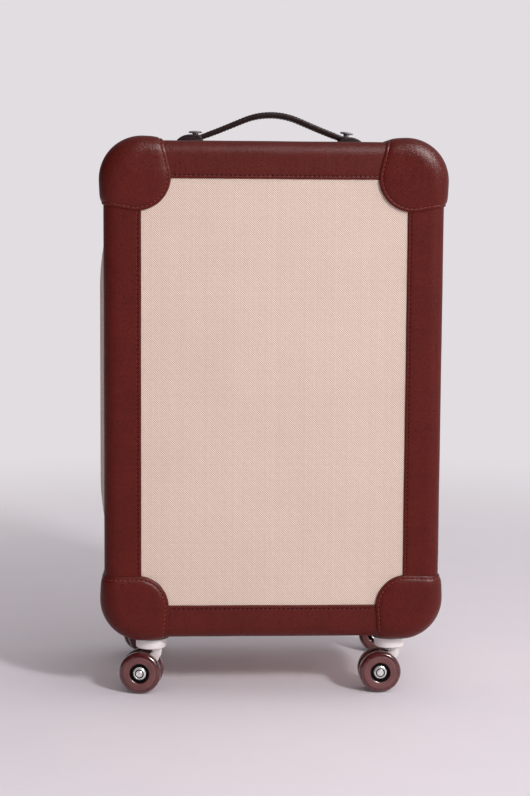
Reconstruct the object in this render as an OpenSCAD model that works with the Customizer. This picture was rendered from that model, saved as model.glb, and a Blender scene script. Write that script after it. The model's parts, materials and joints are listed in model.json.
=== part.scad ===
// Carry-on suitcase: two canvas-covered shells with leather edging and corner guards,
// joined by a piano hinge on the left and a zip round the other three sides, on four
// twin-wheel casters, with a strap handle on top and a telescopic handle in the rear shell.
// Origin on the floor under the middle of the case, +Z up, front face towards -Y.

/* [Case] */
// Width over the leather edging
case_w = 340; // [300:1:400]
// Height of the body, underside to top
case_h = 501; // [420:1:600]
// Depth from the front leather to the back leather
case_d = 230; // [210:1:280]
// Floor to the underside of the body
case_lift = 62; // [60:0.5:75]
// Corner radius seen from the front
corner_r = 40; // [39:1:50]
// Radius of the edges round the front and back faces
edge_r = 14; // [11:0.5:18]
// Middle of the case to the rim of each shell
rim_gap = 7; // [6:0.5:10]

/* [Layers] */
// Thickness of the leather edging
leather_t = 2; // [1:0.25:3]
// Thickness of the canvas cover
canvas_t = 1; // [0.6:0.1:1.5]
// Wall of the moulded shell
shell_t = 2.5; // [1.5:0.25:3.5]
// Thickness of the lining
lining_t = 1; // [0.6:0.1:1.5]

/* [Leather trim] */
// Width of the edging on the face, at the top and sides
strip_w = 37.5; // [28:0.5:38.5]
// Width of the edging on the face, at the bottom
strip_bottom_w = 34.5; // [28:0.5:38.5]
// Width of the edging on the sides of the case
strip_side_w = 30; // [20:1:40]
// How far the padded corner guards stand proud of the edging
guard_t = 4; // [3:0.25:5]
// Centre of each guard's lobe from the edging, on every face
guard_inset = 25; // [22:0.5:28]
// Radius of the guard's lobe, seen from the front
guard_lobe_r = 45; // [40:0.5:48]
// How far the guards reach over the sides, from the face of the case
guard_depth = 66; // [60:1:70]
// Rounding of the guards' far ends
guard_end_r = 24; // [16:1:28]
// Half width of the bottom guards where they wrap under the case
guard_foot_half_w = 43; // [38:0.5:44]

/* [Zip] */
// Thickness of the zip tape
tape_t = 0.8; // [0.5:0.1:1.2]
// Zip tape's reach into the shell, from the middle of the case
tape_reach = 18; // [14:0.5:24]
// Thickness of a row of teeth
teeth_t = 3; // [2:0.1:3.6]
// Width of a row of teeth
teeth_w = 1.8; // [1.2:0.1:2.4]
// Length of a slider
slider_l = 12; // [9:0.5:16]
// Width of a slider
slider_w = 9; // [7:0.5:11]
// Thickness of a slider's two plates
slider_plate_t = 1.4; // [1:0.1:1.5]
// Middle of the case up to the upper slider
upper_slider_z = 32; // [24:1:60]
// Middle of the case down to the lower slider
lower_slider_z = 13; // [8:1:40]
// Length of a slider's pull
pull_l = 27; // [18:1:34]
// Width of a slider's pull
pull_w = 6; // [4:0.5:8]

/* [Hinge] */
// Length of the piano hinge
hinge_l = 200; // [160:1:260]
// Length of the canvas cover past each end of the hinge
cover_overlap = 41; // [20:1:60]
// Hinge axis outside the edging
hinge_out = 4.6; // [4.4:0.1:7]
// Outer radius of the knuckles
knuckle_r = 2; // [1.8:0.1:2.4]
// Radius of the hinge pin
hinge_pin_r = 1; // [0.8:0.05:1.2]
// Number of knuckles, shared between the two leaves
knuckles = 9; // [5:2:13]
// Thickness of the hinge leaves
leaf_t = 1.2; // [0.8:0.1:1.4]
// Width of each leaf past the rim of its shell
leaf_w = 18; // [10:1:22]

/* [Strap handle] */
// Width of the strap
strap_w = 22; // [16:1:28]
// Thickness of the strap
strap_t = 5.75; // [4:0.25:7]
// Top of the edging up to the middle of the strap at the studs
strap_seat = 5; // [4:0.2:7]
// Bend radius at the strap's peak
strap_peak_r = 75; // [60:1:90]
// Slope of the strap between its peak and its ends
strap_slope = 22.5; // [18:0.5:26]
// Middle of the case to the strap, front to back
strap_y = 24; // [20:1:36]
// Middle of the case to the middle of the handle, sideways
handle_x = 2.5; // [-6:0.5:6]
// Middle of the handle to each stud
stud_x = 80; // [74:1:90]
// Radius of the stud's disc
stud_disc_r = 7; // [5:0.5:9]
// Radius of the stud's post
stud_r = 3; // [2:0.25:3.5]

/* [Casters] */
// Centre of the guard's lobe in to the caster's swivel axis, sideways
caster_lobe_offset = 22; // [18:0.5:24]
// Curved edge of the case in to the caster's swivel axis, front to back
caster_edge_offset = 17; // [16:0.5:22]
// Radius of the wheels
wheel_r = 21.5; // [18:0.5:22.5]
// Width of one wheel
wheel_w = 11; // [8:0.5:14]
// Swivel axis to the axle
caster_trail = 10; // [8:0.5:14]
// Radius of the fork's crown
crown_r = 15.5; // [13:0.5:17]
// Height of the fork's crown
crown_h = 10; // [6:0.5:11]
// Turn of each caster as it stands, in degrees: front left, front right, rear left, rear right
caster_turn = [-9, 0, 20, 160];
// Radius of the axle bolt
axle_r = 2.5; // [2:0.25:3]

/* [Telescopic handle] */
// Back of the case in to the rails
trolley_inset = 30; // [28:0.5:34]
// Middle of the case to each rail, sideways
rail_x = 70; // [50:1:80]
// Outer width of the fixed rails
rail_w = 20; // [18:0.5:24]
// Outer depth of the fixed rails
rail_d = 14; // [12:0.5:16]
// Wall of the fixed rails
rail_wall = 1.3; // [1:0.1:1.6]
// Wall of the sliding tubes
tube_wall = 1.2; // [0.8:0.1:1.4]
// Foot of the rails up to the middle tubes when they are pushed in
mid_tube_rest = 31.5; // [10:0.5:80]
// Foot of the middle tubes up to the inner tubes when they are pushed in
inner_tube_rest = 17.5; // [5:0.5:60]
// Length of the grip past the middle of each rail
grip_end = 12; // [10:0.5:20]
// Depth of the grip, front to back
grip_d = 24; // [20:0.5:26]
// Height of the grip
grip_h = 21; // [18:0.5:24]
// Height of the grip above the top of the edging when it is pushed in
grip_proud = 4; // [3:0.5:6]
// Travel of the release button
button_travel = 2.2; // [1.5:0.1:2.6]

/* [Hidden] */
$fn = 96;

// Small gap between pieces that don't touch, and the radial clearance of a running fit
gap = 0.3;
running = 0.05;
// Overshoot of a cutter past the face that it cuts
over = 1;

half_w = case_w / 2;
half_h = case_h / 2;
half_d = case_d / 2;
mid_z = case_lift + half_h;
top_z = case_lift + case_h;
caster_x = half_w - guard_inset - caster_lobe_offset;
caster_y = half_d - edge_r - caster_edge_offset;
trolley_y = half_d - trolley_inset;

// Depth of each layer's outer side below the outside of the edging
canvas_at = leather_t;
shell_at = canvas_at + canvas_t;
lining_at = shell_at + shell_t;
inside_at = lining_at + lining_t;

leather = [0.33, 0.13, 0.12];
canvas = [0.85, 0.75, 0.7];
strap_leather = [0.16, 0.11, 0.11];
steel = [0.75, 0.73, 0.72];
dark_plastic = [0.12, 0.11, 0.12];
cloth = [0.55, 0.48, 0.44];
wheel_red = [0.4, 0.2, 0.22];

// The frame of one half: x to the right, y up from the middle, z from the split to the face
module in_lid() {
    translate([0, 0, mid_z]) rotate([90, 0, 0]) children();
}

module in_main() {
    mirror([0, 1, 0]) in_lid() children();
}

// Cross-section of the half at the given depth below its outside, from the line through
// the corner centres outwards, from a rim to the face
module filled_section(at, rim) {
    translate([0, rim]) square([corner_r - edge_r, half_d - at - rim]);
    translate([0, rim]) square([corner_r - at, half_d - edge_r - rim]);
    translate([corner_r - edge_r, half_d - edge_r]) circle(r = edge_r - at);
}

module layer_section(outer, inner, rim) {
    difference() {
        filled_section(outer, rim);
        filled_section(inner, rim - over);
    }
}

// Sweeps of a cross-section along the straight sides and round the corners
module along_top() {
    length = case_w - 2 * corner_r;
    translate([-length / 2, half_h - corner_r, 0]) rotate([90, 0, 90])
        linear_extrude(length) children();
}

module along_right() {
    length = case_h - 2 * corner_r;
    translate([half_w - corner_r, length / 2, 0]) rotate([90, 0, 0])
        linear_extrude(length) children();
}

module round_top_right() {
    translate([half_w - corner_r, half_h - corner_r, 0]) rotate_extrude(angle = 90) children();
}

module round_bottom_right() {
    mirror([0, 1, 0]) round_top_right() children();
}

module on_both_sides() {
    children();
    mirror([1, 0, 0]) children();
}

module upside_down() {
    mirror([0, 1, 0]) children();
}

// One layer of a half: a tray with rounded corners and edges, open at the split
module tray(outer, inner, rim) {
    along_top() layer_section(outer, inner, rim);
    upside_down() along_top() layer_section(outer, inner, rim);
    on_both_sides() along_right() layer_section(outer, inner, rim);
    on_both_sides() round_top_right() layer_section(outer, inner, rim);
    on_both_sides() round_bottom_right() layer_section(outer, inner, rim);
    inset = 2 * corner_r;
    translate([-half_w + corner_r, -half_h + corner_r, half_d - inner])
        cube([case_w - inset, case_h - inset, inner - outer]);
}

// Space of the guards: a drum round each lobe's centre with a rounded far end, and straight
// flanks where the bottom guards wrap under the case
module guard_half_section(reach) {
    length = guard_depth + guard_t + over;
    square([reach - guard_end_r, guard_end_r]);
    translate([0, guard_end_r]) square([reach, length - guard_end_r]);
    intersection() {
        translate([reach - guard_end_r, guard_end_r]) circle(r = guard_end_r);
        square([reach, length]);
    }
}

module guard_drum() {
    translate([half_w - guard_inset, half_h - guard_inset, half_d - guard_depth])
        rotate_extrude() guard_half_section(guard_lobe_r);
}

module guard_foot() {
    length = guard_inset + guard_t + over;
    translate([half_w - guard_inset, half_h - guard_inset + length, half_d - guard_depth])
        rotate([90, 0, 0]) linear_extrude(length) {
            guard_half_section(guard_foot_half_w);
            mirror([1, 0]) guard_half_section(guard_foot_half_w);
        }
}

module guard_spaces() {
    on_both_sides() {
        guard_drum();
        upside_down() {
            guard_drum();
            guard_foot();
        }
    }
}

module strip_section(width) {
    intersection() {
        layer_section(0, leather_t, half_d - strip_side_w);
        translate([corner_r - width, 0]) square([width, half_d]);
    }
}

// Leather edging between the corner guards
module edging() {
    difference() {
        union() {
            along_top() strip_section(strip_w);
            on_both_sides() along_right() strip_section(strip_w);
            upside_down() along_top() strip_section(strip_bottom_w);
        }
        guard_spaces();
    }
}

// Casters: a fixed base in each bottom guard, a swivelling fork, an axle and two wheels
base_r = crown_r + 3;
base_floor_t = 3.9;
stem_clear = 0.2;
crown_top_z = case_lift - guard_t - gap - stem_clear;
base_bottom_z = crown_top_z + gap;
base_top_z = case_lift + canvas_at;
stem_r = 4;
stem_head_r = 6;
stem_head_t = 1.5;
caster_screw_r = 1.5;
caster_screw_ring = 12;
caster_screw_head_r = 3.2;
caster_screw_head_t = 1.8;
// Places of the screws round the swivel axis, all on the flat part of the underside
caster_screw_angles = [90, 180, 270];

// side is -1 on the left, end is -1 at the front
module at_caster(side, end) {
    translate([side * caster_x, end * caster_y, 0]) children();
}

module at_caster_screws(side) {
    for (a = caster_screw_angles)
        translate([side * caster_screw_ring * cos(a), caster_screw_ring * sin(a), 0]) children();
}

// Holes for the caster screws of one half, through canvas, shell and lining
module caster_screw_holes(end) {
    for (side = [-1, 1])
        at_caster(side, end) at_caster_screws(side)
            translate([0, 0, case_lift]) cylinder(r = caster_screw_r + running, h = inside_at + over);
}

module caster_base_holes(end) {
    for (side = [-1, 1])
        at_caster(side, end) translate([0, 0, case_lift - guard_t - over])
            cylinder(r = base_r + gap, h = guard_t + leather_t + 2 * over);
}

module caster_screws(end) {
    color(steel) for (side = [-1, 1]) at_caster(side, end) at_caster_screws(side) {
        shank_bottom_z = base_bottom_z + 2;
        translate([0, 0, shank_bottom_z])
            cylinder(r = caster_screw_r, h = case_lift + inside_at - shank_bottom_z);
        translate([0, 0, case_lift + inside_at])
            cylinder(r = caster_screw_head_r, h = caster_screw_head_t);
    }
}

module caster_base(side, end) {
    color(dark_plastic) at_caster(side, end) difference() {
        translate([0, 0, base_bottom_z]) cylinder(r = base_r, h = base_top_z - base_bottom_z);
        translate([0, 0, base_bottom_z - over])
            cylinder(r = stem_r + running, h = base_top_z);
        translate([0, 0, base_bottom_z + base_floor_t])
            cylinder(r = stem_head_r + gap, h = base_top_z);
        at_caster_screws(side) translate([0, 0, base_bottom_z + 2])
            cylinder(r = caster_screw_r + running, h = base_top_z);
    }
}

wheel_gap = 0.5;
web_t = 5;
wheel_y = web_t / 2 + wheel_gap + wheel_w / 2;
crown_bottom_z = crown_top_z - crown_h;

// Leg of the fork between the wheels, seen from the front: crown to axle
module leg_outline() {
    leg_left = 1.5;
    leg_right = 10;
    boss_r = 7;
    polygon([
        [leg_left, crown_bottom_z + over], [leg_right, crown_bottom_z + over],
        [leg_right - 1, wheel_r * 1.8], [-caster_trail + boss_r * 0.8, wheel_r - boss_r * 0.5],
        [-caster_trail - boss_r * 0.5, wheel_r + boss_r * 0.8], [leg_left, wheel_r * 1.95]
    ]);
    translate([-caster_trail, wheel_r]) circle(r = boss_r);
}

module fork(side, end, turn) {
    color(steel) at_caster(side, end) rotate([0, 0, turn]) {
        difference() {
            union() {
                translate([0, 0, crown_bottom_z]) cylinder(r = crown_r, h = crown_h);
                translate([0, web_t / 2, 0]) rotate([90, 0, 0]) linear_extrude(web_t) leg_outline();
                translate([0, 0, crown_top_z - over])
                    cylinder(r = stem_r, h = base_floor_t + gap + stem_clear + over);
                translate([0, 0, base_bottom_z + base_floor_t + stem_clear])
                    cylinder(r = stem_head_r, h = stem_head_t);
            }
            translate([-caster_trail, 0, wheel_r]) rotate([90, 0, 0])
                cylinder(r = axle_r + 0.02, h = 2 * wheel_w, center = true);
        }
    }
}

hub_r = 10;
hub_depth = 2.5;
washer_t = 1;
bolt_head_r = 5.6;
bolt_head_t = 2.2;
washer_r = 6.8;
tyre_edge_r = 3;

// Axle bolt with a washer and a six-sided head or nut at each end
module axle(side, end, turn) {
    hub_floor_y = wheel_y + wheel_w / 2 - hub_depth;
    color(steel) at_caster(side, end) rotate([0, 0, turn])
        translate([-caster_trail, 0, wheel_r]) rotate([90, 0, 0]) {
            cylinder(r = axle_r, h = 2 * (hub_floor_y + gap), center = true);
            for (s = [0, 180]) rotate([s, 0, 0]) {
                translate([0, 0, hub_floor_y + gap]) cylinder(r = washer_r, h = washer_t);
                translate([0, 0, hub_floor_y + gap + washer_t])
                    cylinder(r = bolt_head_r, h = bolt_head_t, $fn = 6);
            }
        }
}

// Half cross-section of a wheel from its axis outwards, y towards its outer face
module wheel_section() {
    inner_r = axle_r + running;
    difference() {
        union() {
            translate([inner_r, -wheel_w / 2]) square([wheel_r - tyre_edge_r - inner_r, wheel_w]);
            translate([inner_r, tyre_edge_r - wheel_w / 2])
                square([wheel_r - inner_r, wheel_w - 2 * tyre_edge_r]);
            for (y = [-1, 1])
                translate([wheel_r - tyre_edge_r, y * (wheel_w / 2 - tyre_edge_r)])
                    circle(r = tyre_edge_r);
        }
        translate([0, wheel_w / 2 - hub_depth]) square([hub_r, hub_depth + over]);
    }
}

// face is -1 for the wheel nearer the front at a turn of zero
module wheel(side, end, turn, face) {
    color(wheel_red) at_caster(side, end) rotate([0, 0, turn])
        translate([-caster_trail, face * wheel_y, wheel_r])
            rotate([-face * 90, 0, 0]) rotate_extrude() wheel_section();
}

// Telescopic handle: cup and bezel in the top, rails, two stages of tubes, grip and button
bezel_t = 3.5;
bezel_wall = 1.5;
bezel_lip = 2;
bezel_margin = 2 * (gap + bezel_wall);
grip_l = 2 * (rail_x + grip_end);
grip_bottom_z = top_z + grip_proud - grip_h;
grip_body_h = 12;
grip_split_z = grip_bottom_z + grip_body_h;
grip_rest = 0.5;
cup_size = [grip_l + bezel_margin, grip_d + bezel_margin];
cup_floor_z = grip_bottom_z - grip_rest - bezel_wall;
foot_floor = 5.5;
rail_bottom_z = case_lift + inside_at + foot_floor;
foot_h = 15;
foot_wall = 2;
foot_end = 4;
slide_gap = 0.2;
mid_margin = 2 * (rail_wall + slide_gap);
mid_size = [rail_w - mid_margin, rail_d - mid_margin];
inner_margin = 2 * (tube_wall + slide_gap);
inner_size = [mid_size[0] - inner_margin, mid_size[1] - inner_margin];
button_size = [40, 10];
button_flange = 2;
button_flange_t = 1.5;
button_proud = button_travel + gap;

module stadium(size) {
    r = size[1] / 2;
    square([size[0] - 2 * r, size[1]], center = true);
    for (x = [-1, 1]) translate([x * (size[0] / 2 - r), 0]) circle(r = r);
}

module box_on_rails(size, bottom_z, height) {
    for (x = [-1, 1])
        translate([x * rail_x - size[0] / 2, trolley_y - size[1] / 2, bottom_z])
            cube([size[0], size[1], height]);
}

module tubes(size, wall, bottom_z, height) {
    difference() {
        box_on_rails(size, bottom_z, height);
        box_on_rails([size[0] - 2 * wall, size[1] - 2 * wall], bottom_z - over, height + 2 * over);
    }
}

// Opening for the cup through the top of the rear half
module cup_hole() {
    translate([0, trolley_y, cup_floor_z]) linear_extrude(top_z) stadium([cup_size[0] + gap, cup_size[1] + gap]);
}

module bezel_hole() {
    lip = 2 * bezel_lip + gap;
    translate([0, trolley_y, top_z - leather_t]) linear_extrude(top_z)
        stadium([cup_size[0] + lip, cup_size[1] + lip]);
}

module trolley_bezel() {
    color(dark_plastic) difference() {
        union() {
            translate([0, trolley_y, cup_floor_z])
                linear_extrude(top_z - canvas_at - cup_floor_z + bezel_t) stadium(cup_size);
            translate([0, trolley_y, top_z - canvas_at]) linear_extrude(bezel_t)
                stadium([cup_size[0] + 2 * bezel_lip, cup_size[1] + 2 * bezel_lip]);
        }
        translate([0, trolley_y, cup_floor_z + bezel_wall]) linear_extrude(top_z)
            stadium([cup_size[0] - 2 * bezel_wall, cup_size[1] - 2 * bezel_wall]);
        box_on_rails([mid_size[0] + 2 * slide_gap, mid_size[1] + 2 * slide_gap], cup_floor_z - over, 3 * bezel_wall);
    }
}

module trolley_rails() {
    color(steel) tubes([rail_w, rail_d], rail_wall, rail_bottom_z, cup_floor_z - rail_bottom_z);
}

module trolley_foot() {
    foot_z = case_lift + inside_at;
    foot_w = 2 * (rail_x + foot_end) + rail_w;
    foot_d = rail_d + 2 * foot_wall;
    color(dark_plastic) difference() {
        translate([-foot_w / 2, trolley_y - foot_d / 2, foot_z]) cube([foot_w, foot_d, foot_h]);
        box_on_rails([rail_w, rail_d], rail_bottom_z, foot_h);
    }
}

mid_bottom_z = rail_bottom_z + mid_tube_rest;
inner_bottom_z = mid_bottom_z + inner_tube_rest;
tube_socket = 7;
inner_top_z = grip_bottom_z + tube_socket;

module trolley_mid_tubes() {
    color(steel) tubes(mid_size, tube_wall, mid_bottom_z, cup_floor_z + bezel_wall - mid_bottom_z);
}

module trolley_inner_tubes() {
    color(steel) tubes(inner_size, tube_wall, inner_bottom_z, inner_top_z - inner_bottom_z);
}

spring_r = 4;
spring_seat = 8;
spring_bottom_z = grip_split_z - spring_seat;
button_bottom_z = grip_split_z + gap + button_travel;

module grip_body() {
    color(dark_plastic) difference() {
        translate([0, trolley_y, grip_bottom_z])
            linear_extrude(grip_body_h) stadium([grip_l, grip_d]);
        box_on_rails(inner_size, grip_bottom_z - over, inner_top_z - grip_bottom_z + over);
        translate([0, trolley_y, spring_bottom_z]) cylinder(r = spring_r + gap, h = grip_h);
    }
}

module grip_cover() {
    flange = 2 * button_flange + 2 * gap;
    color(dark_plastic) difference() {
        translate([0, trolley_y, grip_split_z])
            linear_extrude(grip_h - grip_body_h) stadium([grip_l, grip_d]);
        translate([0, trolley_y, grip_split_z - over]) linear_extrude(grip_h)
            stadium([button_size[0] + 2 * gap, button_size[1] + 2 * gap]);
        translate([0, trolley_y, grip_split_z - over])
            linear_extrude(button_bottom_z + button_flange_t + gap - grip_split_z + over)
                stadium([button_size[0] + flange, button_size[1] + flange]);
    }
}

module grip_button() {
    color(steel) translate([0, trolley_y, button_bottom_z]) {
        linear_extrude(grip_bottom_z + grip_h + button_proud - button_bottom_z) stadium(button_size);
        linear_extrude(button_flange_t)
            stadium([button_size[0] + 2 * button_flange, button_size[1] + 2 * button_flange]);
    }
}

module button_spring() {
    wire = 0.7;
    color(steel) translate([0, trolley_y, spring_bottom_z]) difference() {
        cylinder(r = spring_r, h = button_bottom_z - spring_bottom_z);
        translate([0, 0, -over]) cylinder(r = spring_r - wire, h = grip_h);
    }
}

// Strap handle on the rear half: arched strap, end caps, disc-headed studs and their nuts
arch_end_x = strap_peak_r * sin(strap_slope);
arch_end_z = top_z + strap_seat + (stud_x - arch_end_x) * tan(strap_slope);
strap_peak_z = arch_end_z + strap_peak_r * (1 - cos(strap_slope));
// Length of the strap past each stud, measured level
strap_end = 8;
strap_reach = (stud_x + strap_end - arch_end_x) / cos(strap_slope);
cap_seat_z = top_z - canvas_at;
cap_half_l = 16;
cap_h = 13;
cap_round = 10;
cap_x = stud_x + 4;

// Half of the strap seen from the front: a bend at the peak and a straight run down
module half_strap_outline() {
    centre_z = strap_peak_z - strap_peak_r;
    intersection() {
        translate([0, centre_z]) difference() {
            circle(r = strap_peak_r + strap_t / 2);
            circle(r = strap_peak_r - strap_t / 2);
        }
        translate([0, centre_z]) polygon([
            [0, 0], [0, 2 * strap_peak_r],
            2 * strap_peak_r * [tan(strap_slope), 1], 2 * strap_peak_r * [tan(strap_slope), 1]
        ]);
    }
    translate([arch_end_x, arch_end_z]) rotate(-strap_slope)
        translate([0, -strap_t / 2]) square([strap_reach, strap_t]);
}

module at_handle() {
    translate([handle_x, 0, 0]) children();
}

module stood_across(width) {
    translate([0, strap_y + width / 2, 0]) rotate([90, 0, 0]) linear_extrude(width) children();
}

module strap_solid() {
    stood_across(strap_w) half_strap_outline();
    mirror([1, 0, 0]) stood_across(strap_w) half_strap_outline();
}

module stud_holes() {
    for (x = [-1, 1])
        translate([x * stud_x, strap_y, top_z - inside_at - over])
            cylinder(r = stud_r, h = strap_peak_z - top_z + inside_at + over);
}

module handle_strap() {
    color(strap_leather) at_handle() difference() {
        strap_solid();
        stud_holes();
        translate([-case_w / 2, 0, 0]) cube([case_w, case_d, cap_seat_z + 1.5]);
    }
}

// End cap seen from the front: a block with a round outer shoulder
module cap_outline() {
    translate([cap_x - cap_half_l, cap_seat_z]) square([2 * cap_half_l, cap_h - cap_round]);
    translate([cap_x - cap_half_l, cap_seat_z]) square([2 * cap_half_l - cap_round, cap_h]);
    translate([cap_x + cap_half_l - cap_round, cap_seat_z + cap_h - cap_round]) circle(r = cap_round);
}

module handle_end_caps() {
    cap_w = strap_w + 6;
    color(strap_leather) at_handle() difference() {
        on_both_sides() stood_across(cap_w) intersection() {
            cap_outline();
            translate([cap_x - cap_half_l, cap_seat_z]) square([2 * cap_half_l, cap_h]);
        }
        strap_solid();
        stud_holes();
    }
}

stud_disc_z = cap_seat_z + cap_h + 1.6;
stud_disc_t = 2.4;
nut_t = 3;

module handle_studs() {
    color(steel) at_handle() for (x = [-1, 1]) translate([x * stud_x, strap_y, 0]) {
        foot_z = top_z - inside_at - nut_t - 1;
        translate([0, 0, foot_z]) cylinder(r = stud_r, h = stud_disc_z - foot_z);
        translate([0, 0, stud_disc_z]) cylinder(r = stud_disc_r, h = stud_disc_t);
    }
}

module handle_nuts() {
    nut_r = 6;
    color(steel) at_handle() for (x = [-1, 1])
        translate([x * stud_x, strap_y, top_z - inside_at - nut_t]) difference() {
            cylinder(r = nut_r, h = nut_t, $fn = 6);
            translate([0, 0, -over]) cylinder(r = stud_r, h = nut_t + 2 * over);
        }
}

// Shells, covers and linings
module lid_shell() {
    color(dark_plastic) difference() {
        in_lid() tray(shell_at, lining_at, rim_gap);
        caster_screw_holes(-1);
    }
}

module main_shell() {
    color(dark_plastic) difference() {
        in_main() tray(shell_at, lining_at, rim_gap);
        caster_screw_holes(1);
        cup_hole();
        at_handle() stud_holes();
    }
}

module lid_canvas() {
    color(canvas) difference() {
        in_lid() tray(canvas_at, shell_at, rim_gap);
        caster_screw_holes(-1);
    }
}

module main_canvas() {
    color(canvas) difference() {
        in_main() tray(canvas_at, shell_at, rim_gap);
        caster_screw_holes(1);
        cup_hole();
        at_handle() stud_holes();
    }
}

module lid_lining() {
    color(cloth) difference() {
        in_lid() tray(lining_at, inside_at, tape_reach + gap);
        caster_screw_holes(-1);
    }
}

module main_lining() {
    color(cloth) difference() {
        in_main() tray(lining_at, inside_at, tape_reach + gap);
        caster_screw_holes(1);
        cup_hole();
        at_handle() stud_holes();
    }
}

module lid_edge_straps() {
    color(leather) difference() {
        in_lid() edging();
        caster_base_holes(-1);
    }
}

module main_edge_straps() {
    color(leather) difference() {
        in_main() edging();
        caster_base_holes(1);
        bezel_hole();
    }
}

module corner_guards() {
    intersection() {
        tray(-guard_t, canvas_at, rim_gap);
        guard_spaces();
    }
}

module lid_corner_guards() {
    color(leather) difference() {
        in_lid() corner_guards();
        caster_base_holes(-1);
    }
}

module main_corner_guards() {
    color(leather) difference() {
        in_main() corner_guards();
        caster_base_holes(1);
    }
}

// False back of the rear half, over the rails, with crossed packing straps on it
board_t = 2;
board_y = trolley_y - cup_size[1] / 2 - gap - board_t;
webbing_t = 1.2;
webbing_w = 25;
ring_r = 24;
ring_band = 5;

module rail_cover() {
    inset = inside_at + gap;
    r = corner_r - inset;
    color(cloth) difference() {
        in_main() translate([0, 0, board_y]) linear_extrude(board_t) {
            square([case_w - 2 * inset, case_h - 2 * corner_r], center = true);
            square([case_w - 2 * corner_r, case_h - 2 * inset], center = true);
            for (x = [-1, 1])
                for (y = [-1, 1])
                    translate([x * (half_w - corner_r), y * (half_h - corner_r)]) circle(r = r);
        }
        for (side = [-1, 1])
            at_caster(side, 1) at_caster_screws(side) translate([0, 0, case_lift])
                cylinder(r = caster_screw_head_r + gap, h = inside_at + caster_screw_head_t + gap);
    }
}

module packing_straps() {
    reach = [half_w - corner_r, half_h - corner_r];
    angle = atan2(reach[1], reach[0]);
    start = ring_r - ring_band / 2;
    color(dark_plastic) in_main() for (a = [angle, 180 - angle, 180 + angle, -angle])
        rotate([0, 0, a]) translate([start, -webbing_w / 2, board_y - webbing_t])
            cube([norm(reach) - start, webbing_w, webbing_t]);
}

module strap_ring() {
    ring_t = 3;
    color(steel) in_main() translate([0, 0, board_y - webbing_t - ring_t]) difference() {
        cylinder(r = ring_r, h = ring_t);
        translate([0, 0, -over]) cylinder(r = ring_r - ring_band, h = ring_t + 2 * over);
    }
}

// Zip: a tape with a row of teeth on each half, along the top, the right side and the bottom
teeth_at = lining_at + tape_t / 2 - teeth_t / 2;
teeth_gap = 0.8;

module zip_section() {
    translate([corner_r - lining_at - tape_t, teeth_gap]) square([tape_t, tape_reach - teeth_gap]);
    translate([corner_r - teeth_at - teeth_t, teeth_gap]) square([teeth_t, teeth_w]);
}

module zip_half() {
    color(dark_plastic) {
        along_top() zip_section();
        round_top_right() zip_section();
        along_right() zip_section();
        round_bottom_right() zip_section();
        upside_down() along_top() zip_section();
    }
}

module lid_zip() {
    in_lid() zip_half();
}

module main_zip() {
    in_main() zip_half();
}

// Cloth strip that closes the hinge side, on the inside of both shells
module spine_tape() {
    color(canvas) in_lid() mirror([1, 0, 0]) {
        along_right() spine_section();
        round_top_right() spine_section();
        round_bottom_right() spine_section();
    }
}

module spine_section() {
    translate([corner_r - lining_at - tape_t, -tape_reach]) square([tape_t, 2 * tape_reach]);
}

// Zip sliders on the right side: two plates joined by a web between the rows of teeth
slider_outer_x = half_w - teeth_at + gap;
slider_inner_x = half_w - teeth_at - teeth_t - gap;
crown_post_w = 2.4;
crown_post_l = 5;
pull_pin_r = 0.7;
pull_axis_x = slider_outer_x + slider_plate_t + 1.7;
pull_t = 1.4;

module slider(z) {
    web_w = 1;
    color(steel) translate([0, 0, mid_z + z]) {
        translate([slider_outer_x, -slider_w / 2, -slider_l / 2])
            cube([slider_plate_t, slider_w, slider_l]);
        translate([slider_inner_x - slider_plate_t, -slider_w / 2, -slider_l / 2])
            cube([slider_plate_t, slider_w, slider_l]);
        translate([slider_inner_x - over / 2, -web_w / 2, -slider_l / 4])
            cube([slider_outer_x - slider_inner_x + over, web_w, slider_l / 2]);
        difference() {
            translate([slider_outer_x + slider_plate_t / 2, -crown_post_w / 2, -crown_post_l / 2])
                cube([pull_axis_x + 1.6 - slider_outer_x - slider_plate_t / 2, crown_post_w, crown_post_l]);
            translate([pull_axis_x, 0, 0]) rotate([90, 0, 0])
                cylinder(r = pull_pin_r + running, h = slider_w, center = true);
        }
    }
}

// Pull of a slider: two ears and a pin round the crown, and a tab that hangs from them
module pull(z) {
    ear_drop = 5;
    ear_gap = crown_post_w + 2 * gap;
    color(steel) translate([pull_axis_x, 0, mid_z + z]) difference() {
        union() {
            rotate([90, 0, 0]) cylinder(r = pull_pin_r, h = pull_w, center = true);
            translate([-pull_t / 2, -pull_w / 2, -pull_l]) cube([pull_t, pull_w, pull_l]);
        }
        translate([-pull_t, -ear_gap / 2, -ear_drop]) difference() {
            cube([2 * pull_t, ear_gap, ear_drop + over]);
            translate([pull_t, -over, ear_drop]) rotate([-90, 0, 0])
                cylinder(r = pull_pin_r, h = ear_gap + 2 * over);
        }
    }
}

// Piano hinge on the left side
hinge_x = -half_w - hinge_out;
leaf_face_x = -half_w + canvas_at;
knuckle_l = hinge_l / knuckles;

// Seen from above, front half: plate on the canvas and a web out to the barrel
module leaf_outline() {
    translate([leaf_face_x - leaf_t, -rim_gap - leaf_w]) square([leaf_t, leaf_w]);
    polygon([
        [leaf_face_x, -rim_gap - leaf_t], [leaf_face_x - leaf_t, -rim_gap - leaf_t],
        [hinge_x, -knuckle_r * 0.8], [hinge_x + knuckle_r * 0.4, -knuckle_r * 0.6],
        [leaf_face_x, -rim_gap]
    ]);
}

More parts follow.
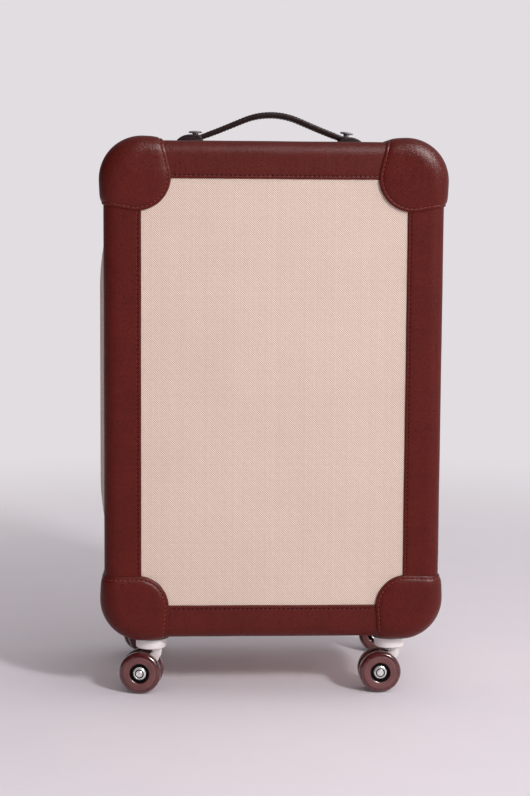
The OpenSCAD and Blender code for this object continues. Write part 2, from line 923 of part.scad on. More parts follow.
// first is 0 for the leaf that holds the end knuckles and 1 for the other
module hinge_leaf(first) {
    bottom_z = mid_z - hinge_l / 2;
    color(steel) difference() {
        union() {
            translate([0, 0, bottom_z]) linear_extrude(hinge_l) leaf_outline();
            for (i = [first:2:knuckles - 1])
                translate([hinge_x, 0, bottom_z + i * knuckle_l + gap / 2])
                    cylinder(r = knuckle_r, h = knuckle_l - gap);
        }
        for (i = [1 - first:2:knuckles - 1])
            translate([hinge_x, 0, bottom_z + i * knuckle_l - gap / 2])
                cylinder(r = knuckle_r + gap, h = knuckle_l + gap);
        translate([hinge_x, 0, bottom_z - over])
            cylinder(r = hinge_pin_r + running, h = hinge_l + 2 * over);
    }
}

module hinge_leaf_lid() {
    hinge_leaf(1);
}

module hinge_leaf_main() {
    mirror([0, 1, 0]) hinge_leaf(0);
}

module hinge_pin() {
    color(steel) translate([hinge_x, 0, mid_z - hinge_l / 2]) cylinder(r = hinge_pin_r, h = hinge_l);
}

// Canvas cover over the hinge, seen from above an arc from one shell to the other
cover_t = 0.8;
cover_half_y = rim_gap + leaf_w + 7;

module hinge_cover() {
    apex_x = hinge_x - knuckle_r - gap - cover_t;
    rise = leaf_face_x - apex_x;
    r = (cover_half_y ^ 2 + rise ^ 2) / (2 * rise);
    cover_l = hinge_l + 2 * cover_overlap;
    color(canvas) translate([0, 0, mid_z - cover_l / 2]) linear_extrude(cover_l) intersection() {
        translate([apex_x + r, 0]) difference() {
            circle(r = r);
            circle(r = r - cover_t);
        }
        translate([apex_x - over, -cover_half_y]) square([rise + over, 2 * cover_half_y]);
    }
}

main_shell();
main_canvas();
main_edge_straps();
main_corner_guards();
main_lining();
main_zip();
rail_cover();
packing_straps();
strap_ring();
hinge_leaf_main();
hinge_pin();
hinge_cover();
spine_tape();
handle_strap();
handle_end_caps();
handle_studs();
handle_nuts();
trolley_bezel();
trolley_rails();
trolley_foot();
caster_screws(1);  // main_caster_screws
caster_base(-1, 1);  // caster_base_rear_left
caster_base(1, 1);  // caster_base_rear_right
lid_shell();
lid_canvas();
lid_edge_straps();
lid_corner_guards();
lid_lining();
lid_zip();
hinge_leaf_lid();
caster_screws(-1);  // lid_caster_screws
caster_base(-1, -1);  // caster_base_front_left
caster_base(1, -1);  // caster_base_front_right
trolley_mid_tubes();
trolley_inner_tubes();
grip_body();
grip_cover();
grip_button();
button_spring();
slider(upper_slider_z);  // zip_slider_upper
slider(-lower_slider_z);  // zip_slider_lower
pull(upper_slider_z);  // zip_pull_upper
pull(-lower_slider_z);  // zip_pull_lower
fork(-1, -1, caster_turn[0]);  // fork_front_left
fork(1, -1, caster_turn[1]);  // fork_front_right
fork(-1, 1, caster_turn[2]);  // fork_rear_left
fork(1, 1, caster_turn[3]);  // fork_rear_right
axle(-1, -1, caster_turn[0]);  // axle_front_left
axle(1, -1, caster_turn[1]);  // axle_front_right
axle(-1, 1, caster_turn[2]);  // axle_rear_left
axle(1, 1, caster_turn[3]);  // axle_rear_right
wheel(-1, -1, caster_turn[0], -1);  // wheel_front_left_a
wheel(-1, -1, caster_turn[0], 1);  // wheel_front_left_b
wheel(1, -1, caster_turn[1], -1);  // wheel_front_right_a
wheel(1, -1, caster_turn[1], 1);  // wheel_front_right_b
wheel(-1, 1, caster_turn[2], -1);  // wheel_rear_left_a
wheel(-1, 1, caster_turn[2], 1);  // wheel_rear_left_b
wheel(1, 1, caster_turn[3], -1);  // wheel_rear_right_a
wheel(1, 1, caster_turn[3], 1);  // wheel_rear_right_b
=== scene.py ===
"""A carry-on suitcase: leather, canvas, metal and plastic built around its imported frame."""
import json
import math

import bmesh
import bpy
import numpy as np
from mathutils import Matrix, Vector, noise

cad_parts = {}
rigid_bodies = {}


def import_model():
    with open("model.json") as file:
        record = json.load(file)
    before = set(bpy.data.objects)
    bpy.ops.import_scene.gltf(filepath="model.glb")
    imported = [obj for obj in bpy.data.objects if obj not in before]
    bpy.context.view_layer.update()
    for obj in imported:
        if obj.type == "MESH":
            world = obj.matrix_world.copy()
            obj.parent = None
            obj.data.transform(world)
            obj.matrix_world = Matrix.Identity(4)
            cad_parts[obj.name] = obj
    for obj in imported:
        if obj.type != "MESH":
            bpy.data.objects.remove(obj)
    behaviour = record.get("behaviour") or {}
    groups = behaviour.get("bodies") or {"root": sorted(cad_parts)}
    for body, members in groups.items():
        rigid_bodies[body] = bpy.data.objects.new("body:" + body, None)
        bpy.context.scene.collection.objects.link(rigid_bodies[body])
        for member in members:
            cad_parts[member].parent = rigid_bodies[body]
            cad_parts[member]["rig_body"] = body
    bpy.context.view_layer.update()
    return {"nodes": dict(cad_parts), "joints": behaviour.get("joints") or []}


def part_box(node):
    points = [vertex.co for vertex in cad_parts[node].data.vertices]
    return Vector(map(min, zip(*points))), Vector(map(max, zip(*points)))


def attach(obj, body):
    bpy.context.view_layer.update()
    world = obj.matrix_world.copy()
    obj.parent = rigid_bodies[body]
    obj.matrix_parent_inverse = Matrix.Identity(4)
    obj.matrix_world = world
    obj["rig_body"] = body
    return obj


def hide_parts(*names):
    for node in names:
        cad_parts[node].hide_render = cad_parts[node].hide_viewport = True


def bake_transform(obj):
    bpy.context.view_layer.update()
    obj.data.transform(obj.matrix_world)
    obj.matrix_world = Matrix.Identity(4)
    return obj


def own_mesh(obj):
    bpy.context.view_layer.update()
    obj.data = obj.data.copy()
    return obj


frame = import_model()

MM = 0.001
JOINTS = {joint["name"]: joint for joint in frame["joints"]}
X, Y, Z = Vector((1, 0, 0)), Vector((0, 1, 0)), Vector((0, 0, 1))

# Signs of x, z and y in the parts of the case, and the row of casters under each half
SIDES = {"left": -1, "right": 1}
LEVELS = {"bottom": -1, "top": 1}
HALVES = {"lid": -1, "main": 1}
ROWS = {"lid": "front", "main": "rear"}

# The case, from the frame
edging_low, edging_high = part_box("main_edge_straps")
HALF_W = edging_high.x
HALF_D = edging_high.y
TOP_Z = edging_high.z
LOW_Z = edging_low.z
MID_Z = (TOP_Z + LOW_Z) / 2
HALF_H = (TOP_Z - LOW_Z) / 2
CORNER_R = 40 * MM
EDGE_R = 14 * MM
LEATHER_T = 2 * MM

# Edging and corner guards
STRIP_W = 37.5 * MM
STRIP_BOTTOM_W = 34.5 * MM
STRIP_SIDE_W = 30 * MM
GUARD_INSET = 25 * MM
GUARD_R = 45 * MM
GUARD_DEPTH = 66 * MM
GUARD_END_R = 24 * MM
GUARD_TOP_OUTLINE = (8, 10.5, 34, 14, 10)
GUARD_FOOT_OUTLINE = (8, 8, 32.2, 4, 2)
GUARD_SWELL = 4.1 * MM
GUARD_DOME = 2.6 * MM
GUARD_SEAM = 3.4 * MM
GUARD_THINNING_BELOW = 0.19

# Seams
STITCH_PITCH = 4.6 * MM
STITCH_L = 3.2 * MM
STITCH_R = 0.45 * MM
STRIP_STITCH_L = 2.5 * MM
STRIP_STITCH_R = 0.6 * MM
GUARD_STITCH_R = 0.46 * MM
SEAM_IN = 3.4 * MM


# Shaders

def srgb(red, green, blue):
    """Linear colour of an sRGB colour given from 0 to 255."""
    shares = [c / 255 for c in (red, green, blue)]
    linear = [c / 12.92 if c <= 0.04045 else ((c + 0.055) / 1.055) ** 2.4 for c in shares]
    return (*linear, 1)


def scaled(colour, factor):
    return (*[factor * c for c in colour[:3]], 1)


class Nodes:
    """A tree of shader nodes, with short calls that add nodes and join them."""

    def __init__(self, tree):
        self.tree = tree

    def put(self, socket, value):
        if isinstance(value, bpy.types.NodeSocket):
            self.tree.links.new(value, socket)
        else:
            socket.default_value = value

    def add(self, kind, inputs=None, **settings):
        node = self.tree.nodes.new("ShaderNode" + kind)
        for key, value in settings.items():
            setattr(node, key, value)
        for key, value in (inputs or {}).items():
            self.put(node.inputs[key], value)
        return node

    def math(self, operation, *values):
        return self.add("Math", dict(enumerate(values)), operation=operation).outputs[0]

    def product(self, result, *values):
        for value in values:
            result = self.math("MULTIPLY", result, value)
        return result

    def total(self, result, *values):
        for value in values:
            result = self.math("ADD", result, value)
        return result

    def largest(self, result, *values):
        for value in values:
            result = self.math("MAXIMUM", result, value)
        return result

    def minus(self, value, other):
        return self.math("SUBTRACT", value, other)

    def remap(self, value, low, high, to_low=0.0, to_high=1.0):
        inputs = {0: value, 1: low, 2: high, 3: to_low, 4: to_high}
        return self.add("MapRange", inputs, interpolation_type="SMOOTHSTEP").outputs[0]

    def mix(self, factor, first, second, blend="MIX"):
        node = self.add("Mix", {0: factor, 6: first, 7: second}, data_type="RGBA", blend_type=blend)
        return node.outputs[2]

    def choose(self, factor, first, second):
        return self.add("Mix", {0: factor, 2: first, 3: second}).outputs[0]

    def split(self, vector):
        return self.add("SeparateXYZ", {0: vector}).outputs

    def shaded(self, colour, shade):
        """The colour times a shade of grey."""
        grey = self.add("CombineXYZ", {0: shade, 1: shade, 2: shade}).outputs[0]
        return self.mix(1.0, colour, grey, "MULTIPLY")

    def swinging(self, level, cloud, swing):
        """A level that a noise moves up and down."""
        return self.total(level, self.product(self.minus(cloud, 0.5), swing))

    def place(self, scale=(1, 1, 1)):
        spot = self.add("TexCoord").outputs["Object"]
        return self.add("Mapping", {"Vector": spot, "Scale": scale}).outputs[0]

    def noise(self, scale, detail=3.0, stretch=(1, 1, 1)):
        inputs = {"Vector": self.place(stretch), "Scale": scale, "Detail": detail}
        return self.add("TexNoise", inputs).outputs[0]


class Shader(Nodes):
    """One procedural material."""

    def __init__(self, name):
        self.material = bpy.data.materials.new(name)
        self.material.use_nodes = True
        super().__init__(self.material.node_tree)
        self.surface = self.tree.nodes["Principled BSDF"]

    def bump(self, height, strength, distance):
        inputs = {"Height": height, "Strength": strength, "Distance": distance}
        self.put(self.surface.inputs["Normal"], self.add("Bump", inputs).outputs[0])

    def finish(self, **values):
        for key, value in values.items():
            self.put(self.surface.inputs[key.replace("_", " ")], value)
        return self.material


def leather(name, colour, creases=(1, 1, 1), roughness=0.4, specular=0.1):
    """Grained leather: fine pebbles with darker valleys, faint creases and an uneven dye."""
    s = Shader(name)
    wobble = s.add("TexNoise", {"Vector": s.place(), "Scale": 260.0, "Detail": 2.0}).outputs[1]
    inputs = {"Vector": s.mix(0.0012, s.place(), wobble), "Scale": 640.0}
    cells = s.add("TexVoronoi", inputs, feature="DISTANCE_TO_EDGE").outputs["Distance"]
    pebbles = s.remap(cells, 0.0, 0.25)
    folds = s.remap(s.noise(300.0, 4.0, creases), 0.35, 0.65)
    pores = s.noise(3200.0, 2.0)
    dye = s.remap(s.noise(28.0, 5.0), 0.25, 0.75, 0.93, 1.06)
    valley = s.remap(pebbles, 0.0, 0.6, 0.68, 1.04)
    shade = s.product(dye, valley, s.remap(folds, 0.0, 1.0, 0.97, 1.03))
    height = s.total(s.product(pebbles, 0.5), s.product(folds, 0.3), s.product(pores, 0.1))
    s.bump(height, 0.8, 0.2 * MM)
    return s.finish(Base_Color=s.shaded(colour, shade), Specular_IOR_Level=specular,
                    Roughness=s.swinging(roughness, s.noise(60.0), 0.12))


def woven(name, warp, weft, pitch, repeat=2, floats=1, roughness=0.85):
    """Cloth of crossing yarns. The warp lies on top in the given share of each repeat."""
    s = Shader(name)
    coordinates = s.add("TexCoord").outputs
    at = s.split(coordinates["Object"])
    facing = [s.math("ABSOLUTE", part) for part in s.split(coordinates["Normal"])]
    level = s.math("GREATER_THAN", facing[2], s.largest(facing[0], facing[1]))
    sideways = s.math("GREATER_THAN", facing[0], s.largest(facing[1], facing[2]))
    across = s.math("DIVIDE", s.choose(sideways, at[0], at[1]), pitch)
    along = s.math("DIVIDE", s.choose(level, at[2], at[1]), pitch)
    warp_yarn = s.math("FLOOR", across)
    weft_yarn = s.math("FLOOR", along)
    step = s.math("FLOORED_MODULO", s.total(warp_yarn, weft_yarn), float(repeat))
    on_top = s.math("LESS_THAN", step, floats - 0.5)

    def yarn(position, index, other):
        share = s.minus(s.minus(position, index), 0.5)
        tone = s.add("TexWhiteNoise", {"W": s.total(index, other)}, noise_dimensions="1D")
        return (s.minus(1.0, s.product(share, share, 3.2)),
                s.remap(tone.outputs[0], 0.0, 1.0, 0.965, 1.03))

    warp_crown, warp_tone = yarn(across, warp_yarn, 0.37)
    weft_crown, weft_tone = yarn(along, weft_yarn, 91.4)
    crown = s.choose(on_top, weft_crown, warp_crown)
    tone = s.choose(on_top, weft_tone, warp_tone)
    shade = s.product(tone, s.remap(crown, 0.2, 1.0, 0.8, 1.02),
                      s.remap(s.noise(9.0, 3.0), 0.3, 0.7, 0.98, 1.02))
    s.bump(s.total(crown, s.product(s.noise(5200.0, 2.0), 0.25)), 0.5, pitch * 0.22)
    return s.finish(Base_Color=s.shaded(s.mix(on_top, weft, warp), shade), Roughness=roughness,
                    Specular_IOR_Level=0.2, Sheen_Weight=0.12, Sheen_Roughness=0.5)


def metal(name, colour, roughness, brushed=(1, 1, 1), metallic=1.0):
    """Satin metal with fine brush marks and faint handling smudges."""
    s = Shader(name)
    marks = s.noise(1500.0, 2.0, brushed)
    s.bump(marks, 0.12, 0.04 * MM)
    return s.finish(Base_Color=s.mix(s.product(marks, 0.18), colour, (0.02, 0.02, 0.02, 1)),
                    Roughness=s.swinging(roughness, s.noise(45.0, 4.0), 0.12), Metallic=metallic)


def plastic(name, colour, roughness, grain=0.2, coat=0.0, specular=0.5):
    """Moulded plastic with a fine spark-eroded grain."""
    s = Shader(name)
    cloud = s.noise(30.0, 3.0)
    s.bump(s.noise(2600.0, 2.0), grain, 0.08 * MM)
    return s.finish(Base_Color=s.mix(s.product(cloud, 0.25), colour, scaled(colour, 1.6)),
                    Roughness=s.swinging(roughness, cloud, 0.1), Specular_IOR_Level=specular,
                    Coat_Weight=coat)


def polyurethane(name, dark, light, roughness, coat):
    """Wheel plastic: a clear-looking maroon with faint clouds and scuffs."""
    s = Shader(name)
    cloud = s.remap(s.noise(70.0, 4.0), 0.3, 0.7)
    s.bump(s.noise(900.0, 5.0), 0.08, 0.05 * MM)
    return s.finish(Base_Color=s.mix(cloud, dark, light), Coat_Weight=coat, Coat_Roughness=0.1,
                    Roughness=s.remap(s.noise(160.0, 5.0), 0.35, 0.75, roughness, roughness + 0.14),
                    Subsurface_Weight=0.15, Subsurface_Radius=(3 * MM, 1 * MM, 1 * MM))


def thread(name, colour):
    """Waxed sewing thread with the twist of its plies."""
    s = Shader(name)
    twist = s.noise(2800.0, 1.0)
    s.bump(twist, 0.4, 0.1 * MM)
    return s.finish(Base_Color=s.mix(s.remap(twist, 0.35, 0.65), colour, scaled(colour, 0.6)),
                    Roughness=0.7, Specular_IOR_Level=0.03)


OXBLOOD = srgb(94, 30, 25)
LEATHER_LEVEL = leather("leather_level_strips", OXBLOOD, creases=(1, 1, 0.1), specular=0.14)
LEATHER_UPRIGHT = leather("leather_upright_strips", OXBLOOD, creases=(0.1, 1, 1))
LEATHER_GUARD = leather("leather_guards", OXBLOOD, roughness=0.36, specular=0.12)
LEATHER_HANDLE = leather("leather_handle", srgb(46, 30, 32))
# The strips' thread: its own dark red, darkened further to stand for the shade in the seam groove (painted
# shade).
STRIP_THREAD_SHADED = thread("thread_strips_shaded", srgb(58, 17, 15))
GUARD_THREAD = thread("thread_guards", srgb(156, 76, 70))
DARK_THREAD = thread("thread_dark", srgb(52, 36, 38))
# Near-black discs at each needle hole of the guards: painted shade of the hole.
NEEDLE_HOLE_SHADE = thread("needle_hole_shades", srgb(30, 9, 9))
CANVAS_THREAD = thread("thread_canvas", srgb(206, 182, 168))
CANVAS = woven("canvas_twill", srgb(247, 227, 214), srgb(188, 160, 146), 0.55 * MM, repeat=4, floats=2)
LINING = woven("lining_cloth", srgb(142, 127, 117), srgb(126, 112, 103), 0.5 * MM, roughness=0.8)
WEBBING = woven("webbing", srgb(66, 42, 42), srgb(52, 32, 33), 1.3 * MM, roughness=0.7)
ZIP_TAPE = woven("zip_tape", srgb(60, 38, 38), srgb(48, 30, 31), 0.6 * MM, repeat=3, roughness=0.75)
STEEL = metal("steel_satin", srgb(236, 234, 234), 0.24, brushed=(1, 1, 0.05), metallic=0.5)
CASTER_METAL = metal("caster_metal", srgb(252, 245, 243), 0.34, brushed=(0.05, 0.05, 1), metallic=0.15)
STUD_METAL = metal("stud_metal", srgb(196, 188, 192), 0.24, metallic=0.7)
ALUMINIUM = metal("tube_aluminium", srgb(198, 198, 200), 0.32, brushed=(1, 1, 0.02))
BUTTON_METAL = metal("button_metal", srgb(205, 203, 203), 0.16, brushed=(0.05, 1, 1))
BLACK_PLASTIC = plastic("black_plastic", srgb(32, 30, 31), 0.45)
HUB_PLASTIC = plastic("hub_plastic", srgb(10, 6, 6), 0.45, grain=0.1, specular=0.12)
SHELL_PLASTIC = plastic("shell_plastic", srgb(58, 52, 52), 0.6, grain=0.35)
TEETH_PLASTIC = plastic("zip_teeth", srgb(52, 32, 33), 0.35, grain=0.1, coat=0.2)
WHEEL_TREAD = polyurethane("wheel_tread", srgb(74, 22, 24), srgb(88, 29, 31), 0.18, coat=0.8)
# The face ring's own paler maroon, lightened further to stand for the pale haze reflected off it (painted
# reflection).
WHEEL_FACE_HAZE = polyurethane("wheel_face_haze", srgb(104, 59, 59), srgb(118, 70, 69), 0.42, coat=0.1)


# Meshes

def smooth(mesh, sharp):
    """Smooth shading, with the edges kept that turn by more than sharp, in degrees."""
    mesh.shade_smooth()
    mesh.set_sharp_from_angle(angle=math.radians(sharp))


def finished(mesh, name, material, sharp=38):
    """Outward normals, smooth shading and one object of that name."""
    work = bmesh.new()
    work.from_mesh(mesh)
    bmesh.ops.recalc_face_normals(work, faces=work.faces)
    work.to_mesh(mesh)
    work.free()
    smooth(mesh, sharp)
    mesh.materials.clear()
    mesh.materials.append(material)
    piece = bpy.data.objects.new(name, mesh)
    bpy.context.scene.collection.objects.link(piece)
    return piece


class Build:
    """Points and faces of one piece, gathered ring by ring."""

    def __init__(self):
        self.points = []
        self.faces = []

    def ring(self, points):
        first = len(self.points)
        self.points.extend(points)
        return list(range(first, len(self.points)))

    def bridge(self, a, b):
        for i in range(len(a)):
            j = (i + 1) % len(a)
            self.faces.append((a[i], a[j], b[j], b[i]))

    def fan(self, ring, centre):
        middle = self.ring([centre])[0]
        for i, corner in enumerate(ring):
            self.faces.append((corner, ring[(i + 1) % len(ring)], middle))

    def loft(self, sections, loop=False):
        """Skin over closed sections, which all have as many points."""
        rings = [self.ring(section) for section in sections]
        for a, b in zip(rings, rings[1:]):
            self.bridge(a, b)
        if loop:
            self.bridge(rings[-1], rings[0])
        else:
            self.faces.append(tuple(rings[0]))
            self.faces.append(tuple(reversed(rings[-1])))

    def sweep(self, stations, section):
        """Skin over a section that runs through stations: a point and the section's two axes."""
        self.loft([[spot + across * a + up * b for a, b in section] for spot, across, up in stations])

    def lathe(self, profile, spot, segments, loop=False):
        """Turns (radius, height) points in mm round the local z axis of the matrix spot."""
        turns = [2 * math.pi * i / segments for i in range(segments)]
        sections = [[spot @ Vector((r * MM * math.cos(a), r * MM * math.sin(a), h * MM)) for a in turns]
                    for r, h in profile]
        self.loft(sections, loop)

    def stitch(self, centre, along, up, length, radius):
        """One raised stitch whose ends dive into the leather."""
        side = along.cross(up).normalized()
        turns = [math.pi * i / 3 for i in range(6)]
        sections = []
        for share, size, sink in ((-1, 0.4, 1.2), (-0.7, 0.95, 0.2), (0, 1.1, 0),
                                  (0.7, 0.95, 0.2), (1, 0.4, 1.2)):
            middle = centre + along * (share * length / 2) - up * (sink * radius)
            sections.append([middle + (side * math.cos(a) + up * (0.8 * math.sin(a))) * (radius * size)
                             for a in turns])
        self.loft(sections)

    def hole(self, centre, along, up):
        """A low disc where the needle went through, which gets a near-black colour as painted shade of the
        hole.
        """
        radius = 0.7 * MM
        side = along.cross(up).normalized()
        turns = [math.pi * i / 4 for i in range(8)]
        rings = []
        for size, lift in ((1.15, -0.5), (1.0, 0.12), (0.4, 0.16)):
            rings.append([centre + up * (lift * radius)
                          + (along * math.cos(a) + side * math.sin(a)) * (radius * size) for a in turns])
        self.loft(rings)

    def prism(self, outline, start, end):
        """Outline points joined to the same outline moved from start to end."""
        self.loft([[p + start for p in outline], [p + end for p in outline]])

    def piece(self, name, material, sharp=38):
        mesh = bpy.data.meshes.new(name)
        mesh.from_pydata([tuple(p) for p in self.points], [], self.faces)
        return finished(mesh, name, material, sharp)


def rounded(piece, width, segments=2, angle=30):
    """Rounds the sharp edges of a piece."""
    work = bmesh.new()
    work.from_mesh(piece.data)
    bmesh.ops.remove_doubles(work, verts=work.verts, dist=0.5e-5)
    bmesh.ops.dissolve_limit(work, angle_limit=math.radians(0.6), verts=work.verts, edges=work.edges)
    limit = math.radians(angle)
    sharp = [e for e in work.edges if len(e.link_faces) == 2 and e.calc_face_angle(0) > limit]
    bmesh.ops.bevel(work, geom=sharp, offset=width, segments=segments, profile=0.5,
                    affect="EDGES", clamp_overlap=True)
    bmesh.ops.recalc_face_normals(work, faces=work.faces)
    work.to_mesh(piece.data)
    work.free()
    smooth(piece.data, 40)
    return piece


def softened(node, width, material, segments=2):
    """A copy of a CAD node with rounded edges, which stands for that node."""
    mesh = bpy.data.meshes.new(node + "_rounded")
    work = bmesh.new()
    work.from_mesh(frame["nodes"][node].data)
    bmesh.ops.remove_doubles(work, verts=work.verts, dist=0.5e-5)
    work.to_mesh(mesh)
    work.free()
    piece = rounded(finished(mesh, node + "_rounded", material), width, segments)
    return settle(piece, frame["nodes"][node]["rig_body"], node)


def cut(piece, cutter):
    """Takes the cutter away from the piece."""
    change = piece.modifiers.new("cut", "BOOLEAN")
    change.operation = "DIFFERENCE"
    change.solver = "EXACT"
    change.object = cutter
    bpy.context.view_layer.update()
    result = piece.evaluated_get(bpy.context.evaluated_depsgraph_get())
    mesh = bpy.data.meshes.new_from_object(result)
    piece.modifiers.clear()
    piece.data = mesh
    smooth(mesh, 38)
    bpy.data.objects.remove(cutter)
    return piece


def settle(piece, body, node=None):
    """Ties a piece to its body and hides the CAD node that it stands for."""
    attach(piece, body)
    if node:
        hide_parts(node)
    return piece


def dress(material, *nodes):
    """Gives CAD nodes that stay in sight their material."""
    for node in nodes:
        mesh = frame["nodes"][node].data
        mesh.materials.clear()
        mesh.materials.append(material)


def spread(low, high, steps):
    """Evenly spaced values from low to high, with both ends."""
    return [low + (high - low) * i / steps for i in range(steps + 1)]


def arc(centre, radius, start, end, steps):
    """Points on an arc in the plane, with angles in degrees."""
    turns = [math.radians(a) for a in spread(start, end, steps)]
    return [(centre[0] + radius * math.cos(a), centre[1] + radius * math.sin(a)) for a in turns]


def bell(value, centre, width):
    """A smooth bump of height 1 round the centre."""
    return math.exp(-((value - centre) / width) ** 2)


# Leather edging

def edging_point(width, s):
    """Place and normal at a distance s over the edging, from its face edge to its side edge.

    The first number runs out to the side of the case, the second out to its face.
    """
    face = width - EDGE_R
    bend = EDGE_R * math.pi / 2
    if s < face:
        return (s - width, 0.0), (0.0, 1.0)
    if s < face + bend:
        turn = (s - face) / EDGE_R
        normal = (math.sin(turn), math.cos(turn))
        return ((normal[0] - 1) * EDGE_R, (normal[1] - 1) * EDGE_R), normal
    return (0.0, -EDGE_R - (s - face - bend)), (1.0, 0.0)


def edging_stations(width):
    """Distances over the edging, close together at its two turned edges and seams."""
    total = width + STRIP_SIDE_W - (2 - math.pi / 2) * EDGE_R
    near = [d * MM for d in (0, 0.12, 0.35, 0.7, 1.2, 2, 2.8, 3.1, 3.4, 3.7, 4.2, 5.2)]
    far = [total - d for d in reversed(near)]
    middle = spread(near[-1], far[0], round((far[0] - near[-1]) / (3 * MM)))
    return total, near + middle[1:-1] + far


def edging_height(s, total, along, seed):
    """How far the leather stands off the canvas: turned edges, pulled-in seams, soft middle."""
    turned = 1.2 * MM
    groove, groove_w = 0.45 * MM, 0.6 * MM
    dimple, dimple_w = 0.14 * MM, 1.4 * MM
    swell, ripple, firm_w = 0.12 * MM, 0.16 * MM, 7 * MM
    edge = min(s, total - s)
    height = LEATHER_T
    if edge < turned:
        height *= math.sqrt(1 - (1 - edge / turned) ** 2)
    hole = 0.5 + 0.5 * math.cos(2 * math.pi * along / STITCH_PITCH)
    height -= groove * bell(edge, SEAM_IN, groove_w) * (0.6 + 0.4 * hole)
    height -= dimple * hole ** 3 * bell(edge, SEAM_IN, dimple_w)
    wave = noise.noise(Vector((along * 22, s * 30, seed)))
    return height + (1 - bell(edge, 0, firm_w)) * (swell + ripple * wave)


def strip(name, half, corner, out, along, reach, width, material):
    """One leather strip round a front or back edge of the case, and its two rows of stitches."""
    body = Build()
    seams = Build()
    deep = Vector((0, HALVES[half], 0))
    total, stations = edging_stations(width)
    seed = sum(map(ord, name)) % 97

    def place(s, level, t):
        (a, b), (na, nb) = edging_point(width, s)
        wander = 0.22 * MM * noise.noise(Vector((t * 14, seed, 3.1))) * bell(s, 0, 6 * MM)
        return corner + along * t + out * (a + na * level + wander) + deep * (b + nb * level)

    step = STITCH_PITCH / 3
    inner = [total * share for share in (0.99, 0.75, 0.62, 0.5, 0.4, 0.2, 0.01)]
    sections = []
    for t in spread(-reach, reach, round(2 * reach / step)):
        outer = [place(s, edging_height(s, total, t, seed) - LEATHER_T, t) for s in stations]
        sections.append(outer + [place(s, -LEATHER_T - 0.05 * MM, t) for s in inner])
    body.loft(sections)

    for s in (SEAM_IN, total - SEAM_IN):
        normal = edging_point(width, s)[1]
        up = out * normal[0] + deep * normal[1]
        for k in range(int(-reach / STITCH_PITCH), int(reach / STITCH_PITCH)):
            t = (k + 0.5) * STITCH_PITCH
            spot = place(s, -0.14 * MM, t)
            if not (under_guard(spot) or under_bezel(spot)):
                seams.stitch(spot, along, up, STRIP_STITCH_L, STRIP_STITCH_R)
    # These stitches' dark colour partly stands for the shade in their groove: painted shade.
    settle(seams.piece(name + "_stitches", STRIP_THREAD_SHADED), half)
    return body.piece(name, material, 50)


def under_bezel(spot):
    """Whether a stitch would lie under the bezel of the telescopic handle."""
    low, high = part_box("trolley_bezel")
    margin = 1.5 * MM
    return (spot.z > MID_Z and low.y - margin < spot.y < high.y + margin
            and low.x - margin < spot.x < high.x + margin)


def bezel_cutter():
    """The bezel's outline as a tool, a little wider than the bezel."""
    low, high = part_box("trolley_bezel")
    half_t = (high.y - low.y) / 2
    radius = half_t + 0.15 * MM
    straight = high.x - half_t
    middle = (high.y + low.y) / 2
    outline = arc((straight, middle), radius, -90, 90, 24) + arc((-straight, middle), radius, 90, 270, 24)
    build = Build()
    build.prism([Vector((x, y, TOP_Z)) for x, y in outline], Z * (-10 * MM), Z * (10 * MM))
    return build.piece("bezel_cutter", BLACK_PLASTIC)


def edging():
    """Four strips on each half of the case."""
    wide = HALF_W - CORNER_R
    tall = HALF_H - CORNER_R
    for half, sign in HALVES.items():
        face = Vector((0, sign * HALF_D, MID_Z))
        sides = {
            "top": (face + Z * HALF_H, Z, X, wide, STRIP_W, LEATHER_LEVEL),
            "bottom": (face - Z * HALF_H, -Z, X, wide, STRIP_BOTTOM_W, LEATHER_LEVEL),
            "left": (face - X * HALF_W, -X, Z, tall, STRIP_W, LEATHER_UPRIGHT),
            "right": (face + X * HALF_W, X, Z, tall, STRIP_W, LEATHER_UPRIGHT),
        }
        for side, values in sides.items():
            piece = strip(f"edging_{half}_{side}", half, *values)
            if (half, side) == ("main", "top"):
                piece = cut(piece, bezel_cutter())
            settle(piece, half, half + "_edge_straps")


# Padded corner guards

def outline_inside(a, b, wraps):
    """How far inside the guard's outline a point lies, seen from the front.

    The outline is a rounded corner with two sides that close in towards the case's edges. Its
    numbers give the middle of the rounding, its radius, and the slants of the sides in degrees.
    """
    x, z, radius, side_slant, level_slant = GUARD_FOOT_OUTLINE if wraps else GUARD_TOP_OUTLINE
    u, v = -a - x * MM, -b - z * MM
    turn, tilt = math.radians(side_slant), math.radians(level_slant)
    past_side = u * math.cos(turn) - v * math.sin(turn)
    past_level = v * math.cos(tilt) - u * math.sin(tilt)
    beside = (past_side > 0) & (u * math.sin(turn) + v * math.cos(turn) < 0)
    under = (past_level > 0) & (v * math.sin(tilt) + u * math.cos(tilt) < 0)
    within = (past_side <= 0) & (past_level <= 0)
    gap = np.where(within, np.maximum(past_side, past_level), np.hypot(u, v))
    gap = np.where(beside, past_side, np.where(under, past_level, gap))
    return radius * MM - gap


def guard_inside(a, b, c, wraps):
    """How far inside the guard's edge a point lies.

    The point is given from the lobe's centre: sideways, up or down, and towards the face.
    """
    return rounded_end(outline_inside(a, b, wraps), c)


def rounded_end(depth, c):
    """Depth inside an outline that runs straight back and ends in a rounding."""
    across = GUARD_END_R - depth
    beyond = -c - (GUARD_DEPTH - GUARD_INSET - GUARD_END_R)
    outside = np.hypot(np.maximum(across, 0), np.maximum(beyond, 0))
    return GUARD_END_R - outside - np.minimum(np.maximum(across, beyond), 0)


def under_guard(spot):
    """Whether a corner guard hides a point of the edging."""
    a = abs(spot.x) - (HALF_W - GUARD_INSET)
    b = abs(spot.z - MID_Z) - (HALF_H - GUARD_INSET)
    c = abs(spot.y) - (HALF_D - GUARD_INSET)
    return guard_inside(a, b, c, spot.z < MID_Z) > -STITCH_L / 2


